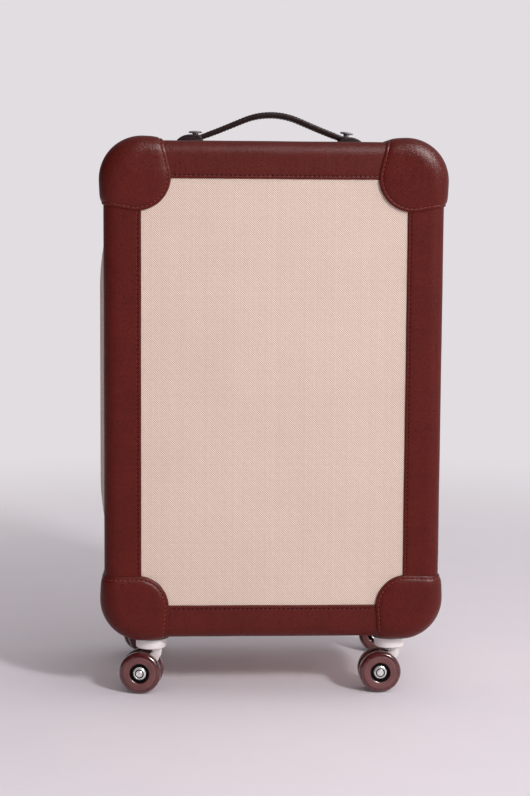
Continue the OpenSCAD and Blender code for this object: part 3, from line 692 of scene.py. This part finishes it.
def case_distance(p):
    """Signed distance of points (sideways, up, deep from the middle) to the case's outside."""
    qx = np.abs(p[..., 0]) - (HALF_W - CORNER_R)
    qz = np.abs(p[..., 1]) - (HALF_H - CORNER_R)
    flat = (np.minimum(np.maximum(qx, qz), 0) + np.hypot(np.maximum(qx, 0), np.maximum(qz, 0))
            - CORNER_R + EDGE_R)
    deep = np.abs(p[..., 2]) - (HALF_D - EDGE_R)
    return (np.minimum(np.maximum(flat, deep), 0)
            + np.hypot(np.maximum(flat, 0), np.maximum(deep, 0)) - EDGE_R)


def case_normal(p):
    """Outward directions of the case's surface at points."""
    step = 0.02 * MM
    slopes = [case_distance(p + step * np.eye(3)[i]) - case_distance(p - step * np.eye(3)[i])
              for i in range(3)]
    normal = np.stack(slopes, axis=-1)
    return normal / np.linalg.norm(normal, axis=-1, keepdims=True)


class GuardShape:
    """The skin of one corner guard, in rings round its outer corner, for the positive corner."""

    ray_steps = 90
    halvings = 26
    widest = math.radians(118)

    def __init__(self, spokes, wraps):
        self.centre = np.array([HALF_W, HALF_H, HALF_D]) - GUARD_INSET
        self.wraps = wraps
        turns = np.linspace(0, 2 * math.pi, spokes, endpoint=False)
        self.middle = np.ones(3) / math.sqrt(3)
        first = np.array([1, -1, 0]) / math.sqrt(2)
        second = np.cross(self.middle, first)
        self.outward = np.outer(np.cos(turns), first) + np.outer(np.sin(turns), second)
        angles = np.radians(np.arange(0, 100, 2.0))
        depths = [self.inside(self.hit(np.full(spokes, a))) for a in angles]
        self.crest = angles[np.array(depths).argmax(axis=0)]

    def hit(self, angles):
        """Where rays at these angles from the corner's direction leave the case."""
        rays = (np.cos(angles)[..., None] * self.middle
                + np.sin(angles)[..., None] * self.outward)
        reach = np.zeros(angles.shape)
        for _ in range(self.ray_steps):
            reach -= case_distance(self.centre + rays * reach[..., None])
        return self.centre + rays * reach[..., None]

    def inside(self, points):
        return guard_inside(*(points - self.centre).T, self.wraps)

    def ring_at(self, depth):
        """Angles of the ring that lies this far inside the guard's edge."""
        low = self.crest.copy()
        high = np.full(len(low), self.widest)
        for _ in range(self.halvings):
            middle = (low + high) / 2
            beyond = self.inside(self.hit(middle)) < depth
            high = np.where(beyond, middle, high)
            low = np.where(beyond, low, middle)
        return (low + high) / 2

    def skin(self, angles, level):
        """Points of a ring, raised off the case by a level that depends on how far in they lie."""
        points = self.hit(angles)
        depths = np.maximum(self.inside(points), 0)
        a, b, c = (points - self.centre).T
        cores = np.maximum(rounded_end(GUARD_R - np.hypot(a, b), c), 0)
        rise = np.array([level(depth, core) for depth, core in zip(depths, cores)])
        normals = case_normal(points)
        if self.wraps:
            thinner = 1 - GUARD_THINNING_BELOW * np.maximum(normals[:, 1], 0)
            rise = np.where(rise > 0, rise * thinner, rise)
        return points + normals * rise[:, None]


def guard_level(inside, core):
    """Height of the guard's outside over the edging: rim, flange, seam, padding, domed middle.

    The dome goes by how far a point lies inside a round lobe.
    """
    foot = -LEATHER_T - 0.2 * MM
    edge, flange = 1.5 * MM, 2.2 * MM
    groove, groove_w = 0.6 * MM, 0.6 * MM
    rim, ramp, swelling, dome_from = 1 * MM, 1.8 * MM, 3.2 * MM, 6 * MM
    if inside < rim:
        return foot + (edge - foot) * math.sqrt(1 - (1 - inside / rim) ** 2)
    level = edge + (flange - edge) * min((inside - rim) / ramp, 1)
    level -= groove * bell(inside, GUARD_SEAM, groove_w)
    if inside > GUARD_SEAM:
        level += (GUARD_SWELL - flange) * (1 - math.exp((GUARD_SEAM - inside) / swelling))
    dome = max(min(inside, core) - dome_from, 0) / (GUARD_R - dome_from)
    return level + GUARD_DOME * dome ** 1.3


def guard_rings(wraps):
    """Rings of the outside and of the inside of one guard, their middles, and its seam."""
    shape = GuardShape(180, wraps)
    depths = [0, 0.15, 0.4, 0.75, 1.1, 1.8, 2.5, 3.0, 3.4, 3.8, 4.4, 5.4, 7, 9, 11.5, 14.5]
    seam_at = depths.index(GUARD_SEAM / MM)
    edges = [shape.ring_at(d * MM) for d in depths]
    count = 22
    core = [edges[-1] * (1 - i / count) for i in range(1, count)]
    tip = np.zeros(len(shape.outward))

    def under_level(*_):
        return -LEATHER_T + 0.3 * MM

    outside = [shape.skin(angles, guard_level) for angles in edges + core]
    inside = [shape.skin(angles, under_level) for angles in [edges[4], edges[11]] + core[::3]]
    middles = shape.skin(tip, guard_level)[0], shape.skin(tip, under_level)[0]
    seam = shape.skin(edges[seam_at], lambda *depths: guard_level(*depths) + 0.12 * MM)
    normals = case_normal(shape.hit(edges[seam_at]))
    return outside, inside, middles, seam, normals


def guard(half, level_name, side_name, rings):
    """One guard, mirrored to its corner from the rings of the positive one, and its stitches."""
    outside, inside, middles, seam, normals = rings
    side, level, deep = SIDES[side_name], LEVELS[level_name], HALVES[half]

    def turned(p, start=MID_Z):
        return Vector((side * p[0], deep * p[2], start + level * p[1]))

    build = Build()
    skins = [build.ring([turned(p) for p in ring]) for ring in outside]
    unders = [build.ring([turned(p) for p in ring]) for ring in inside]
    for a, b in zip(skins, skins[1:]):
        build.bridge(a, b)
    for a, b in zip([skins[0]] + unders, unders):
        build.bridge(a, b)
    build.fan(skins[-1], turned(middles[0]))
    build.fan(unders[-1], turned(middles[1]))
    name = f"guard_{half}_{level_name}_{side_name}"
    piece = build.piece(name, LEATHER_GUARD, 60)
    if level_name == "bottom":
        piece = cut(piece, base_cutter(f"caster_base_{ROWS[half]}_{side_name}"))
    settle(piece, half, half + "_corner_guards")

    # Each needle hole gets a dark disc: painted shade of the hole.
    stitches, hole_shades = Build(), Build()
    sew(stitches, [turned(p) for p in seam], [turned(n, 0) for n in normals], radius=GUARD_STITCH_R,
        hole_shades=hole_shades)
    settle(stitches.piece(name + "_stitches", GUARD_THREAD), half)
    settle(hole_shades.piece(name + "_needle_hole_shades", NEEDLE_HOLE_SHADE), half)


def guards():
    """Eight padded guards, from one shape for the top and one that wraps the casters' corners."""
    for level_name in LEVELS:
        rings = guard_rings(level_name == "bottom")
        for half in HALVES:
            for side_name in SIDES:
                guard(half, level_name, side_name, rings)


def sew(seam, line, normals, pitch=STITCH_PITCH, length=STITCH_L, radius=STITCH_R, hole_shades=None):
    """Adds stitches at an even pitch along a line of points.

    Given a build for the needle hole shade, the line is a closed one and a dark disc is added at each
    needle hole between the stitches: painted shade of the hole.
    """
    count = len(line)
    lengths = [(line[(i + 1) % count] - line[i]).length for i in range(count if hole_shades else count - 1)]
    number = round(sum(lengths) / pitch)
    spacing = sum(lengths) / number
    i, travelled = 0, 0.0
    for k in range(2 * number - 1):
        target = (k + 1) * spacing / 2
        while travelled + lengths[i] < target:
            travelled += lengths[i]
            i += 1
        share = (target - travelled) / lengths[i]
        start, end = line[i], line[(i + 1) % count]
        up = normals[i].lerp(normals[(i + 1) % count], share).normalized()
        spot, along = start.lerp(end, share), (end - start).normalized()
        if k % 2 == 0:
            seam.stitch(spot, along, up, length, radius)
        elif hole_shades:
            hole_shades.hole(spot - up * (0.12 * MM), along, up)


def base_cutter(node):
    """A round tool that leaves room for a caster's base."""
    low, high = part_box(node)
    radius = (high.x - low.x) / 2 / MM + 0.3
    spot = Matrix.Translation(((low.x + high.x) / 2, (low.y + high.y) / 2, low.z - 5 * MM))
    build = Build()
    build.lathe([(radius, 0), (radius, 16)], spot, 64)
    return build.piece("base_cutter", BLACK_PLASTIC)


# Strap handle

strap_low, strap_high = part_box("handle_strap")
HANDLE_X = (strap_low.x + strap_high.x) / 2
STRAP_T = 5.75 * MM
STRAP_Y = (strap_low.y + strap_high.y) / 2
STRAP_HALF_W = (strap_high.y - strap_low.y) / 2
STRAP_PEAK_Z = strap_high.z - STRAP_T / 2
STRAP_PEAK_R = 75 * MM
STRAP_SLOPE = math.radians(22.5)
STRAP_THINNING = 0.09
STRAP_THINNED_AT = 60 * MM
STRAP_EASED_FROM = 45 * MM
STRAP_EASE = 0.9 / (1000 * MM)
STUD_X = 80 * MM
STUD_TILTS = {"left": 0, "right": 8}
CAP_TOPS = {"left": 10.8 * MM, "right": 9.2 * MM}
CAP_TAILS = {"left": 102 * MM, "right": 99 * MM}


def strap_line(x):
    """Height of the strap's middle and its slope: a bend at the peak, then straight flanks.

    Here and for the caps and studs, x runs from the middle of the handle.
    """
    far = abs(x)
    bend = STRAP_PEAK_R * math.sin(STRAP_SLOPE)
    if far < bend:
        turn = math.asin(far / STRAP_PEAK_R)
        return STRAP_PEAK_Z - STRAP_PEAK_R * (1 - math.cos(turn)), math.copysign(turn, -x)
    drop = STRAP_PEAK_R * (1 - math.cos(STRAP_SLOPE)) + (far - bend) * math.tan(STRAP_SLOPE)
    flare = max(far - STRAP_EASED_FROM, 0)
    slope = math.atan(math.tan(STRAP_SLOPE) - 2 * STRAP_EASE * flare)
    return STRAP_PEAK_Z - drop + STRAP_EASE * flare ** 2, math.copysign(slope, -x)


def strap_station(x):
    """Middle of the strap, its upward direction, and the share of its thickness that is left."""
    z, slope = strap_line(x)
    thin = 1 - STRAP_THINNING * min(abs(x) / STRAP_THINNED_AT, 1)
    return Vector((HANDLE_X + x, STRAP_Y, z)), Vector((-math.sin(slope), 0, math.cos(slope))), thin


def strap_handle():
    """The arched strap with rounded edges, in the same leather as its faces, and a row of stitches along
    each side.
    """
    reach = STUD_X + 6 * MM
    sewn_reach = STUD_X - 12 * MM
    steps, sewn_steps = 90, 44
    edge = 2.1 * MM
    half_t = STRAP_T / 2
    seam_y = STRAP_HALF_W - 3 * MM
    section = []
    for i, (a, b) in enumerate(((1, 1), (-1, 1), (-1, -1), (1, -1))):
        section += arc((a * (STRAP_HALF_W - edge), b * (half_t - edge)), edge, 90 * i, 90 * (i + 1), 5)
    sections = []
    for x in spread(-reach, reach, steps):
        middle, up, thin = strap_station(x)
        ring = []
        for a, b in section:
            dent = 0.25 * MM * bell(abs(a), seam_y, 0.7 * MM)
            ring.append(middle + Y * a + up * (thin * b - math.copysign(dent, b)))
        sections.append(ring)
    build = Build()
    build.loft(sections)
    settle(build.piece("handle_strap_leather", LEATHER_HANDLE), "main", "handle_strap")

    seams = Build()
    for side in (-1, 1):
        for face in (-1, 1):
            line, normals = [], []
            for x in spread(-sewn_reach, sewn_reach, sewn_steps):
                middle, up, thin = strap_station(x)
                line.append(middle + Y * (side * seam_y) + up * (face * (half_t * thin + 0.05 * MM)))
                normals.append(up * face)
            sew(seams, line, normals, 3.6 * MM, 2.7 * MM, 0.34 * MM)
    settle(seams.piece("handle_strap_stitches", DARK_THREAD), "main")


def end_cap(side_name):
    """Leather tongue that holds one end of the strap and tapers down to the top of the case."""
    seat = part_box("handle_end_caps")[0].z
    top = TOP_Z + CAP_TOPS[side_name]
    tail = CAP_TAILS[side_name]
    slope = 17 * MM
    half = STRAP_HALF_W + 3 * MM
    mouth = ((68, 0), (68, 3), (69.5, 4.3), (71, 5.2), (72.4, 8))
    outline = [(x * MM, seat + z * MM) for x, z in mouth]
    outline += [(74 * MM, top - 1.2 * MM), (76.5 * MM, top), (tail - slope, top)]
    outline += [(tail - slope + slope * math.sin(a), seat + (top - seat) * math.cos(a))
                for a in spread(0, math.pi / 2, 10)[1:]]
    build = Build()
    build.prism([Vector((HANDLE_X + SIDES[side_name] * x, STRAP_Y, z)) for x, z in outline],
                -Y * half, Y * half)
    piece = rounded(build.piece("end_cap_" + side_name, LEATHER_HANDLE), 1.6 * MM, 4, 50)
    settle(piece, "main", "handle_end_caps")


def stud(side_name):
    """Mushroom stud: a post and a domed disc with a turned ring on its top."""
    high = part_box("handle_studs")[1]
    disc = (high.x - HANDLE_X - STUD_X) / MM
    foot = Vector((HANDLE_X + SIDES[side_name] * STUD_X, STRAP_Y, high.z - 8.4 * MM))
    tilt = Matrix.Rotation(math.radians(STUD_TILTS[side_name]), 4, "Y")
    build = Build()
    build.lathe([(3, -12), (3, 5.4), (3.7, 5.9), (disc - 0.5, 6), (disc, 6.5), (disc, 7.2),
                 (disc - 0.6, 7.8), (disc - 2, 8.1), (disc - 2.3, 7.8), (disc - 2.6, 8.2),
                 (1.5, 8.35)], Matrix.Translation(foot) @ tilt, 64)
    settle(build.piece("stud_" + side_name, STUD_METAL), "main", "handle_studs")


# Zip

LINING_AT = 5.5 * MM
TAPE_T = 0.8 * MM
TAPE_REACH = 18 * MM
TOOTH_PITCH = 2.5 * MM


def zip_route(s, inset):
    """Point, outward normal and direction at a distance along the zip's route at some depth.

    The route goes along the top, round a corner, down the side, round a corner and back below.
    """
    radius = CORNER_R - inset
    bend = radius * math.pi / 2
    wide = 2 * (HALF_W - CORNER_R)
    tall = 2 * (HALF_H - CORNER_R)
    middle = Vector((-wide / 2, 0, MID_Z + tall / 2))
    turn = 0.0
    for straight in (wide, tall, wide):
        middle += Vector((math.cos(turn), 0, -math.sin(turn))) * max(min(s, straight), 0)
        s -= straight
        turn += max(min(s, bend), 0) / radius
        s -= bend
    normal = Vector((math.sin(turn), 0, math.cos(turn)))
    return middle + normal * radius, normal, Vector((math.cos(turn), 0, -math.sin(turn)))


def zip_length(inset):
    return 4 * (HALF_W - CORNER_R) + 2 * (HALF_H - CORNER_R) + math.pi * (CORNER_R - inset)


def zip_half(half):
    """One side of the zip: a tape with a beaded edge, and its separate teeth."""
    sign = HALVES[half]
    mid = LINING_AT + TAPE_T / 2
    total = zip_length(mid)
    edge = 0.5 * TAPE_T
    bead = [(0.8, edge), (1.4, 1.5 * edge), (2.2, 1.5 * edge), (2.8, edge), (17.6, edge)]
    section = [(y, -h) for y, h in bead] + [(TAPE_REACH / MM, 0)] + bead[::-1]
    steps = 330
    stations = []
    for s in spread(0, total, steps):
        spot, normal, _ = zip_route(s, mid)
        stations.append((spot, Y * sign, -normal))
    tape = Build()
    tape.sweep(stations, [(y * MM, h) for y, h in section])
    settle(tape.piece(f"zip_tape_{half}", ZIP_TAPE, 60), half, half + "_zip")

    teeth = Build()
    thick = 1.3 * MM
    number = int(total / TOOTH_PITCH)
    shift = 0 if half == "lid" else 0.5
    corners = ((-1, -1), (1, -1), (1, 1), (-1, 1))
    tooth = ((3.1, 0.5, 0.75), (2.6, 0.52, 1), (0.8, 0.36, 1), (0.25, 0.58, 1), (-0.35, 0.5, 0.8))
    for k in range(1, number):
        spot, normal, along = zip_route((k + shift) * TOOTH_PITCH, mid)
        teeth.loft([[spot + Y * (sign * y * MM) + along * (a * half_w * MM) + normal * (b * thick * scale)
                     for a, b in corners] for y, half_w, scale in tooth])
    settle(teeth.piece(f"zip_teeth_{half}", TEETH_PLASTIC, 30), half)


# Hinge side

CANVAS_SIDE_X = -HALF_W + LEATHER_T


def fold_at_hinge(piece, node):
    """Hides the CAD node that a piece stands for and bakes the piece's placement into its mesh."""
    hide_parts(node)
    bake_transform(piece)


def hinge_cover():
    """Canvas welt over the hinge, full over the barrel and tapering out above and below it."""
    low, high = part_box("hinge_cover")
    pin_low, pin_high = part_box("hinge_pin")
    half_y = high.y
    thick = 0.8 * MM
    seam_in = 2.6 * MM
    rise = CANVAS_SIDE_X - low.x - thick
    plateau = (pin_high.z - pin_low.z) / 2
    taper = 66 * MM
    reach = plateau + taper
    rows = spread(-1, 1, 84)
    across = spread(-1, 1, 36)

    def skin(y, row, off):
        """Point of the welt at shares of its half width and height, this far off its inside."""
        beyond = max(reach * abs(row) - plateau, 0) / taper
        bulge = rise * max(1 - beyond ** 2, 0) * (1 - y * y)
        return Vector((CANVAS_SIDE_X - bulge - off, half_y * y, MID_Z + reach * row))

    def edged(y, row):
        """Thickness of the cloth, which gets thin at its edges."""
        return thick * min(1, 12 * (1 - abs(y)) + 0.35) * min(1, 20 * (1 - abs(row)) + 0.35)

    build = Build()
    build.loft([[skin(y, row, edged(y, row)) for y in across]
                + [skin(y, row, -0.02 * MM) for y in reversed(across)] for row in rows])
    piece = build.piece("hinge_cover_canvas", CANVAS, 60)
    fold_at_hinge(piece, "hinge_cover")
    for half, sign in HALVES.items():
        y = sign * (1 - seam_in / half_y)
        line = [skin(y, row, thick + 0.1 * MM) for row in rows[2:-2]]
        seam = Build()
        sew(seam, line, [-X] * len(line))
        settle(seam.piece(f"hinge_cover_stitches_{half}", CANVAS_THREAD), half)


def spine_tape():
    """Cloth strip that closes the hinge side on the inside of both halves."""
    mid = LINING_AT + TAPE_T / 2
    wide = 2 * (HALF_W - CORNER_R)
    total = zip_length(mid) - 2 * wide
    stations = []
    for s in spread(wide, wide + total, 100):
        spot, normal, _ = zip_route(s, mid)
        spot.x, normal.x = -spot.x, -normal.x
        stations.append((spot, Y, normal))
    across = spread(-TAPE_REACH, TAPE_REACH, 24)
    build = Build()
    build.sweep(stations, [(y, TAPE_T / 2) for y in across] + [(y, -TAPE_T / 2) for y in across[::-1]])
    piece = build.piece("spine_tape_cloth", LINING, 60)
    fold_at_hinge(piece, "spine_tape")


# Casters, with their small sizes, profiles and outlines in mm

LEG_HALF_T = 2.5
HUB_FLOOR = 3.0
WASHER_AT = HUB_FLOOR + 0.3


def caster_spot(corner):
    """Frame of one caster: its swivel axis on the floor, x away from the wheels, y along the axle."""
    swivel = JOINTS["swivel_" + corner]["pos_m"]
    axle = JOINTS[f"spin_{corner}_a"]["axis"]
    turn = math.atan2(-axle[0], axle[1])
    return Matrix.Translation((swivel[0], swivel[1], 0)) @ Matrix.Rotation(turn, 4, "Z")


def fork(corner, spot, axle):
    """Crown, swivel stem and the leg that carries the axle."""
    body = "fork_" + corner
    crown_low = 47.5
    crown_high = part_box("caster_base_" + corner)[0].z / MM - 0.3
    profile = [(11.5, 0.9), (13.2, 0.25), (14.4, 0), (15.1, 0.35), (15.5, 1.1), (15.5, 8.9),
               (15.2, 9.7), (14.4, 10)]
    crown = Build()
    crown.lathe([(r, crown_low + h) for r, h in profile], spot, 72)
    crown.lathe([(4, crown_high - 0.5), (4, crown_high + 5)], spot, 32)
    settle(crown.piece("crown_" + corner, CASTER_METAL), body, body)

    outline = [(1.5, crown_low + 1.5), (11.5, crown_low + 1.5), (11, crown_low - 4), (10.2, 38.7), (6, 31)]
    outline += arc((axle.x / MM, axle.z / MM), 7, -30, -233, 14) + [(-8, 34.5), (1.5, 41.9)]
    side = spot.to_3x3() @ (Y * (LEG_HALF_T * MM))
    leg = Build()
    leg.prism([spot @ Vector((x * MM, 0, z * MM)) for x, z in outline], -side, side)
    settle(rounded(leg.piece("fork_leg_" + corner, CASTER_METAL), 0.8 * MM, 3), body, body)


def wheel(name, place, radius):
    """Tread, pale face ring and sunk hub of one wheel, with z outwards along the axle; the face's paleness
    is partly painted reflection.
    """
    tread = [(10.0, 2.6), (10.0, 4.6), (10.3, 5.1), (11, 5.3), (16.2, 5.3)]
    tread += arc((radius - 4.2, 1.2), 4.2, 68, 6, 9)
    tread += [(r, -h) for r, h in reversed(tread)]
    face = [(10.5, 5.1), (10.7, 5.4), (11.1, 5.5), (16, 5.5), (16.7, 5.4), (17, 5.1)]
    hub = [(2.6, HUB_FLOOR), (6.9, HUB_FLOOR), (7.2, HUB_FLOOR + 0.3), (7.8, HUB_FLOOR + 0.3),
           (8.2, HUB_FLOOR - 0.2), (9.4, HUB_FLOOR - 0.2), (9.9, HUB_FLOOR + 1.6),
           (10.1, HUB_FLOOR + 1.6), (10.1, -4.9), (2.6, -4.9)]
    parts = (("tyre", tread, 96, WHEEL_TREAD, 45, name), ("face", face, 96, WHEEL_FACE_HAZE, 45, None),
             ("hub", hub, 72, HUB_PLASTIC, 38, None))
    for kind, profile, segments, material, sharp, node in parts:
        build = Build()
        build.lathe(profile, place, segments, loop=True)
        settle(build.piece(f"{name}_{kind}", material, sharp), name, node)


def bolt_end(bolt, lock, place):
    """Nut with its washer face, lock ring, tip and shank at one end of the axle, z outwards."""
    nut = [(2.4, 0), (6.3, 0), (6.6, 0.25), (6.6, 0.8), (6.3, 1.0), (6.1, 1.0), (6.1, 2.2),
           (5.5, 2.9), (5.0, 2.9), (4.7, 2.5), (4.6, 1.1), (2.4, 1.1)]
    ring = [(3.4, 1.0), (4.65, 1.0), (4.65, 1.9), (3.4, 1.9)]
    tip = [(3.5, 1.0), (3.5, 2.5), (3.1, 2.9), (1.7, 3.1), (0.5, 3.15)]
    for build, profile in ((bolt, nut), (lock, ring), (bolt, tip)):
        build.lathe([(r, WASHER_AT + h) for r, h in profile], place, 48)
    bolt.lathe([(2.45, -6 - LEG_HALF_T), (2.45, HUB_FLOOR + 0.4)], place, 32)


def caster(corner):
    """Fork, two wheels and their bolted axle, each in the place that the frame gives it."""
    spot = caster_spot(corner)
    middles = [spot.inverted() @ Vector(JOINTS[f"spin_{corner}_{letter}"]["pos_m"]) for letter in "ab"]
    fork(corner, spot, middles[0])
    bolt, lock = Build(), Build()
    for letter, middle, quarter in zip("ab", middles, (math.pi / 2, -math.pi / 2)):
        place = spot @ Matrix.Translation(middle) @ Matrix.Rotation(quarter, 4, "X")
        wheel(f"wheel_{corner}_{letter}", place, middle.z / MM)
        bolt_end(bolt, lock, place)
    settle(bolt.piece("axle_bolt_" + corner, STEEL, 25), "fork_" + corner, "axle_" + corner)
    settle(lock.piece("axle_lock_rings_" + corner, HUB_PLASTIC), "fork_" + corner, "axle_" + corner)


# Inside and the telescopic handle

def packing_webbing():
    """Four flat straps from the corners to the ring, with sewn loops at the ring."""
    low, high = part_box("packing_straps")
    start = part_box("strap_ring")[1].x - 3 * MM
    half = 12.5 * MM
    loop_t = 0.9 * MM
    seam_reach = 10 * MM
    seam_rows = (24 * MM, 30 * MM)
    straps = Build()
    seams = Build()
    for side in (-1, 1):
        for level in (-1, 1):
            reach = Vector((side * (HALF_W - CORNER_R), 0, level * (HALF_H - CORNER_R)))
            along = reach.normalized()
            across = Vector((-along.z, 0, along.x))
            sections = []
            for share in spread(0, 1, 40):
                spot = Z * MID_Z + along * (start + (reach.length - start) * share)
                top = low.y - loop_t * bell(share, 0, 0.09)
                edge = [(-1, high.y), (-1, top + 0.25 * MM), (-0.97, top), (-0.9, top + 0.12 * MM),
                        (-0.3, top)]
                section = edge + [(-a, y) for a, y in reversed(edge)]
                sections.append([spot + across * (a * half) + Y * y for a, y in section])
            straps.loft(sections)
            for a in spread(-seam_reach, seam_reach, 8):
                for row in seam_rows:
                    spot = Vector((0, low.y - 0.35 * MM, MID_Z)) + along * (start + row)
                    seams.stitch(spot + across * a, across, -Y, 2 * MM, 0.3 * MM)
    settle(straps.piece("packing_webbing", WEBBING, 50), "main", "packing_straps")
    settle(seams.piece("packing_webbing_stitches", DARK_THREAD), "main")


def packing_ring():
    """The ring that the four straps meet in, of flattened wire."""
    low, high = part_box("strap_ring")
    middle, half = (low + high) / 2, (high - low) / 2 / MM
    band = 2.5
    ring = Build()
    ring.lathe([(half.x + band * (a - 1), half.y * b) for a, b in arc((0, 0), 1, 0, 345, 23)],
               Matrix.Translation(middle) @ Matrix.Rotation(math.pi / 2, 4, "X"), 96, loop=True)
    settle(ring.piece("packing_ring", STEEL), "main", "strap_ring")


def button_coil():
    """The release button's spring as one coiled wire."""
    low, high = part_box("button_spring")
    middle = (low + high) / 2
    wire = 0.35 * MM
    coil_r = (high.x - low.x) / 2 - wire
    turns = 6
    stations = []
    for share in spread(0, 1, 16 * turns):
        turn = 2 * math.pi * turns * share
        out = Vector((math.cos(turn), math.sin(turn), 0))
        height = low.z + wire + (high.z - low.z - 2 * wire) * share
        stations.append((Vector((middle.x, middle.y, height)) + out * coil_r, out, Z))
    coil = Build()
    coil.sweep(stations, arc((0, 0), wire, 0, 315, 7))
    piece = coil.piece("button_coil", STEEL)
    settle(piece, frame["nodes"]["button_spring"]["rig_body"], "button_spring")
    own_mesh(piece)


# Light, floor and camera

BACKDROP = srgb(226, 221, 225)


def floor():
    """A wide pale floor that fades into the backdrop's colour, round the object."""
    build = Build()
    build.faces.append(tuple(build.ring([Vector((x, y, 0)) for x, y in arc((0, 0), 9, 0, 355, 71)])))
    s = Shader("floor")
    far = s.add("VectorMath", {0: s.add("TexCoord").outputs["Object"]}, operation="LENGTH")
    fade = s.remap(far.outputs["Value"], 0.55, 1.8)
    path = s.add("LightPath").outputs
    seen = s.largest(path["Is Camera Ray"], path["Is Glossy Ray"], path["Is Transmission Ray"])
    glow = s.add("Emission", {"Color": BACKDROP, "Strength": 1.0}).outputs[0]
    grain = s.mix(s.noise(14.0, 3.0), srgb(237, 231, 240), srgb(241, 235, 244))
    s.finish(Base_Color=grain, Roughness=0.75, Specular_IOR_Level=0.2)
    mixed = s.add("MixShader", {0: s.product(fade, seen), 1: s.surface.outputs[0], 2: glow})
    s.put(s.tree.nodes["Material Output"].inputs["Surface"], mixed.outputs[0])
    build.piece("studio_floor", s.material)


def world():
    """Studio light that falls off towards the left, and the pale backdrop that is seen."""
    sky = bpy.data.worlds.new("studio")
    bpy.context.scene.world = sky
    sky.use_nodes = True
    s = Nodes(sky.node_tree)
    right, back, above = s.split(s.add("TexCoord").outputs["Generated"])

    def brightness(base, upward, backward, rightward):
        """A level, and what it gains towards each side. It is never quite dark."""
        level = s.math("MULTIPLY_ADD", above, upward, base)
        level = s.math("MULTIPLY_ADD", back, backward, level)
        return s.largest(s.math("MULTIPLY_ADD", right, rightward, level), 0.03)

    light = s.add("Background", {"Color": (1, 0.97, 0.96, 1), "Strength": brightness(0.35, 0.3, 0, 0.42)})
    path = s.add("LightPath").outputs
    dimmed = s.product(path["Is Glossy Ray"], s.minus(1.0, brightness(0.22, 0.15, 0.2, 0.45)))
    backdrop = s.add("Background", {"Color": BACKDROP, "Strength": s.minus(1.0, dimmed)})
    seen = s.largest(path["Is Camera Ray"], path["Is Transmission Ray"], path["Is Glossy Ray"])
    mixed = s.add("MixShader", {0: seen, 1: light.outputs[0], 2: backdrop.outputs[0]})
    s.put(s.tree.nodes["World Output"].inputs["Surface"], mixed.outputs[0])


def area_light(name, spot, size, power, glossy):
    """A lamp aimed at the case, for its gloss alone or for its shades and shadows alone."""
    lamp = bpy.data.lights.new(name, "AREA")
    lamp.shape = "RECTANGLE"
    lamp.size, lamp.size_y = size
    lamp.energy = power
    lamp.color = (1, 0.985, 0.975)
    holder = bpy.data.objects.new(name, lamp)
    holder.location = spot
    holder.rotation_euler = (Vector((0, 0, 0.3)) - Vector(spot)).to_track_quat("-Z", "Y").to_euler()
    holder.visible_glossy = glossy
    holder.visible_diffuse = not glossy
    bpy.context.scene.collection.objects.link(holder)


def camera():
    """The photograph's view: where it stood, which way it looked and how long its lens was."""
    image_h = 796
    focal_px = 1779.55
    spot = Vector((-0.1012, -1.8834, 0.4956))
    yaw, pitch, roll = (math.radians(a) for a in (-2.989, 6.05, 0.377))
    lens = bpy.data.cameras.new("camera")
    lens.sensor_fit = "VERTICAL"
    lens.sensor_height = 24
    lens.lens = focal_px / image_h * lens.sensor_height
    holder = bpy.data.objects.new("camera", lens)
    aim = Matrix.Rotation(yaw, 4, "Z") @ Matrix.Rotation(math.pi / 2 - pitch, 4, "X")
    holder.matrix_world = Matrix.Translation(spot) @ aim @ Matrix.Rotation(roll, 4, "Z")
    bpy.context.scene.collection.objects.link(holder)
    bpy.context.scene.camera = holder


camera()
world()
floor()
area_light("key", (1.81, -2.68, 1.88), size=(0.4, 0.5), power=71, glossy=False)
area_light("softbox", (1.7, -1.5, 2.5), size=(1.1, 1.3), power=330, glossy=True)
bpy.context.scene.view_settings.view_transform = "Standard"

edging()
guards()
strap_handle()
for side_word in SIDES:
    end_cap(side_word)
    stud(side_word)
zip_half("lid")
zip_half("main")
hinge_cover()
spine_tape()
for row in ROWS.values():
    for side_word in SIDES:
        caster(f"{row}_{side_word}")
        softened(f"caster_base_{row}_{side_word}", 0.4 * MM, BLACK_PLASTIC)
packing_webbing()
packing_ring()
button_coil()

softened("trolley_bezel", 0.6 * MM, BLACK_PLASTIC, 3)
softened("grip_body", 0.8 * MM, BLACK_PLASTIC, 3)
softened("grip_cover", 1.6 * MM, BLACK_PLASTIC, 4)
softened("grip_button", 0.5 * MM, BUTTON_METAL, 3)
softened("trolley_foot", 0.8 * MM, BLACK_PLASTIC)
for word in ("upper", "lower"):
    softened("zip_slider_" + word, 0.3 * MM, STEEL)
    softened("zip_pull_" + word, 0.25 * MM, STEEL)
dress(CANVAS, "main_canvas", "lid_canvas")
dress(LINING, "main_lining", "lid_lining", "rail_cover")
dress(SHELL_PLASTIC, "main_shell", "lid_shell")
dress(ALUMINIUM, "trolley_rails", "trolley_mid_tubes", "trolley_inner_tubes")
dress(STEEL, "hinge_leaf_main", "hinge_leaf_lid", "hinge_pin", "handle_nuts",
      "main_caster_screws", "lid_caster_screws")
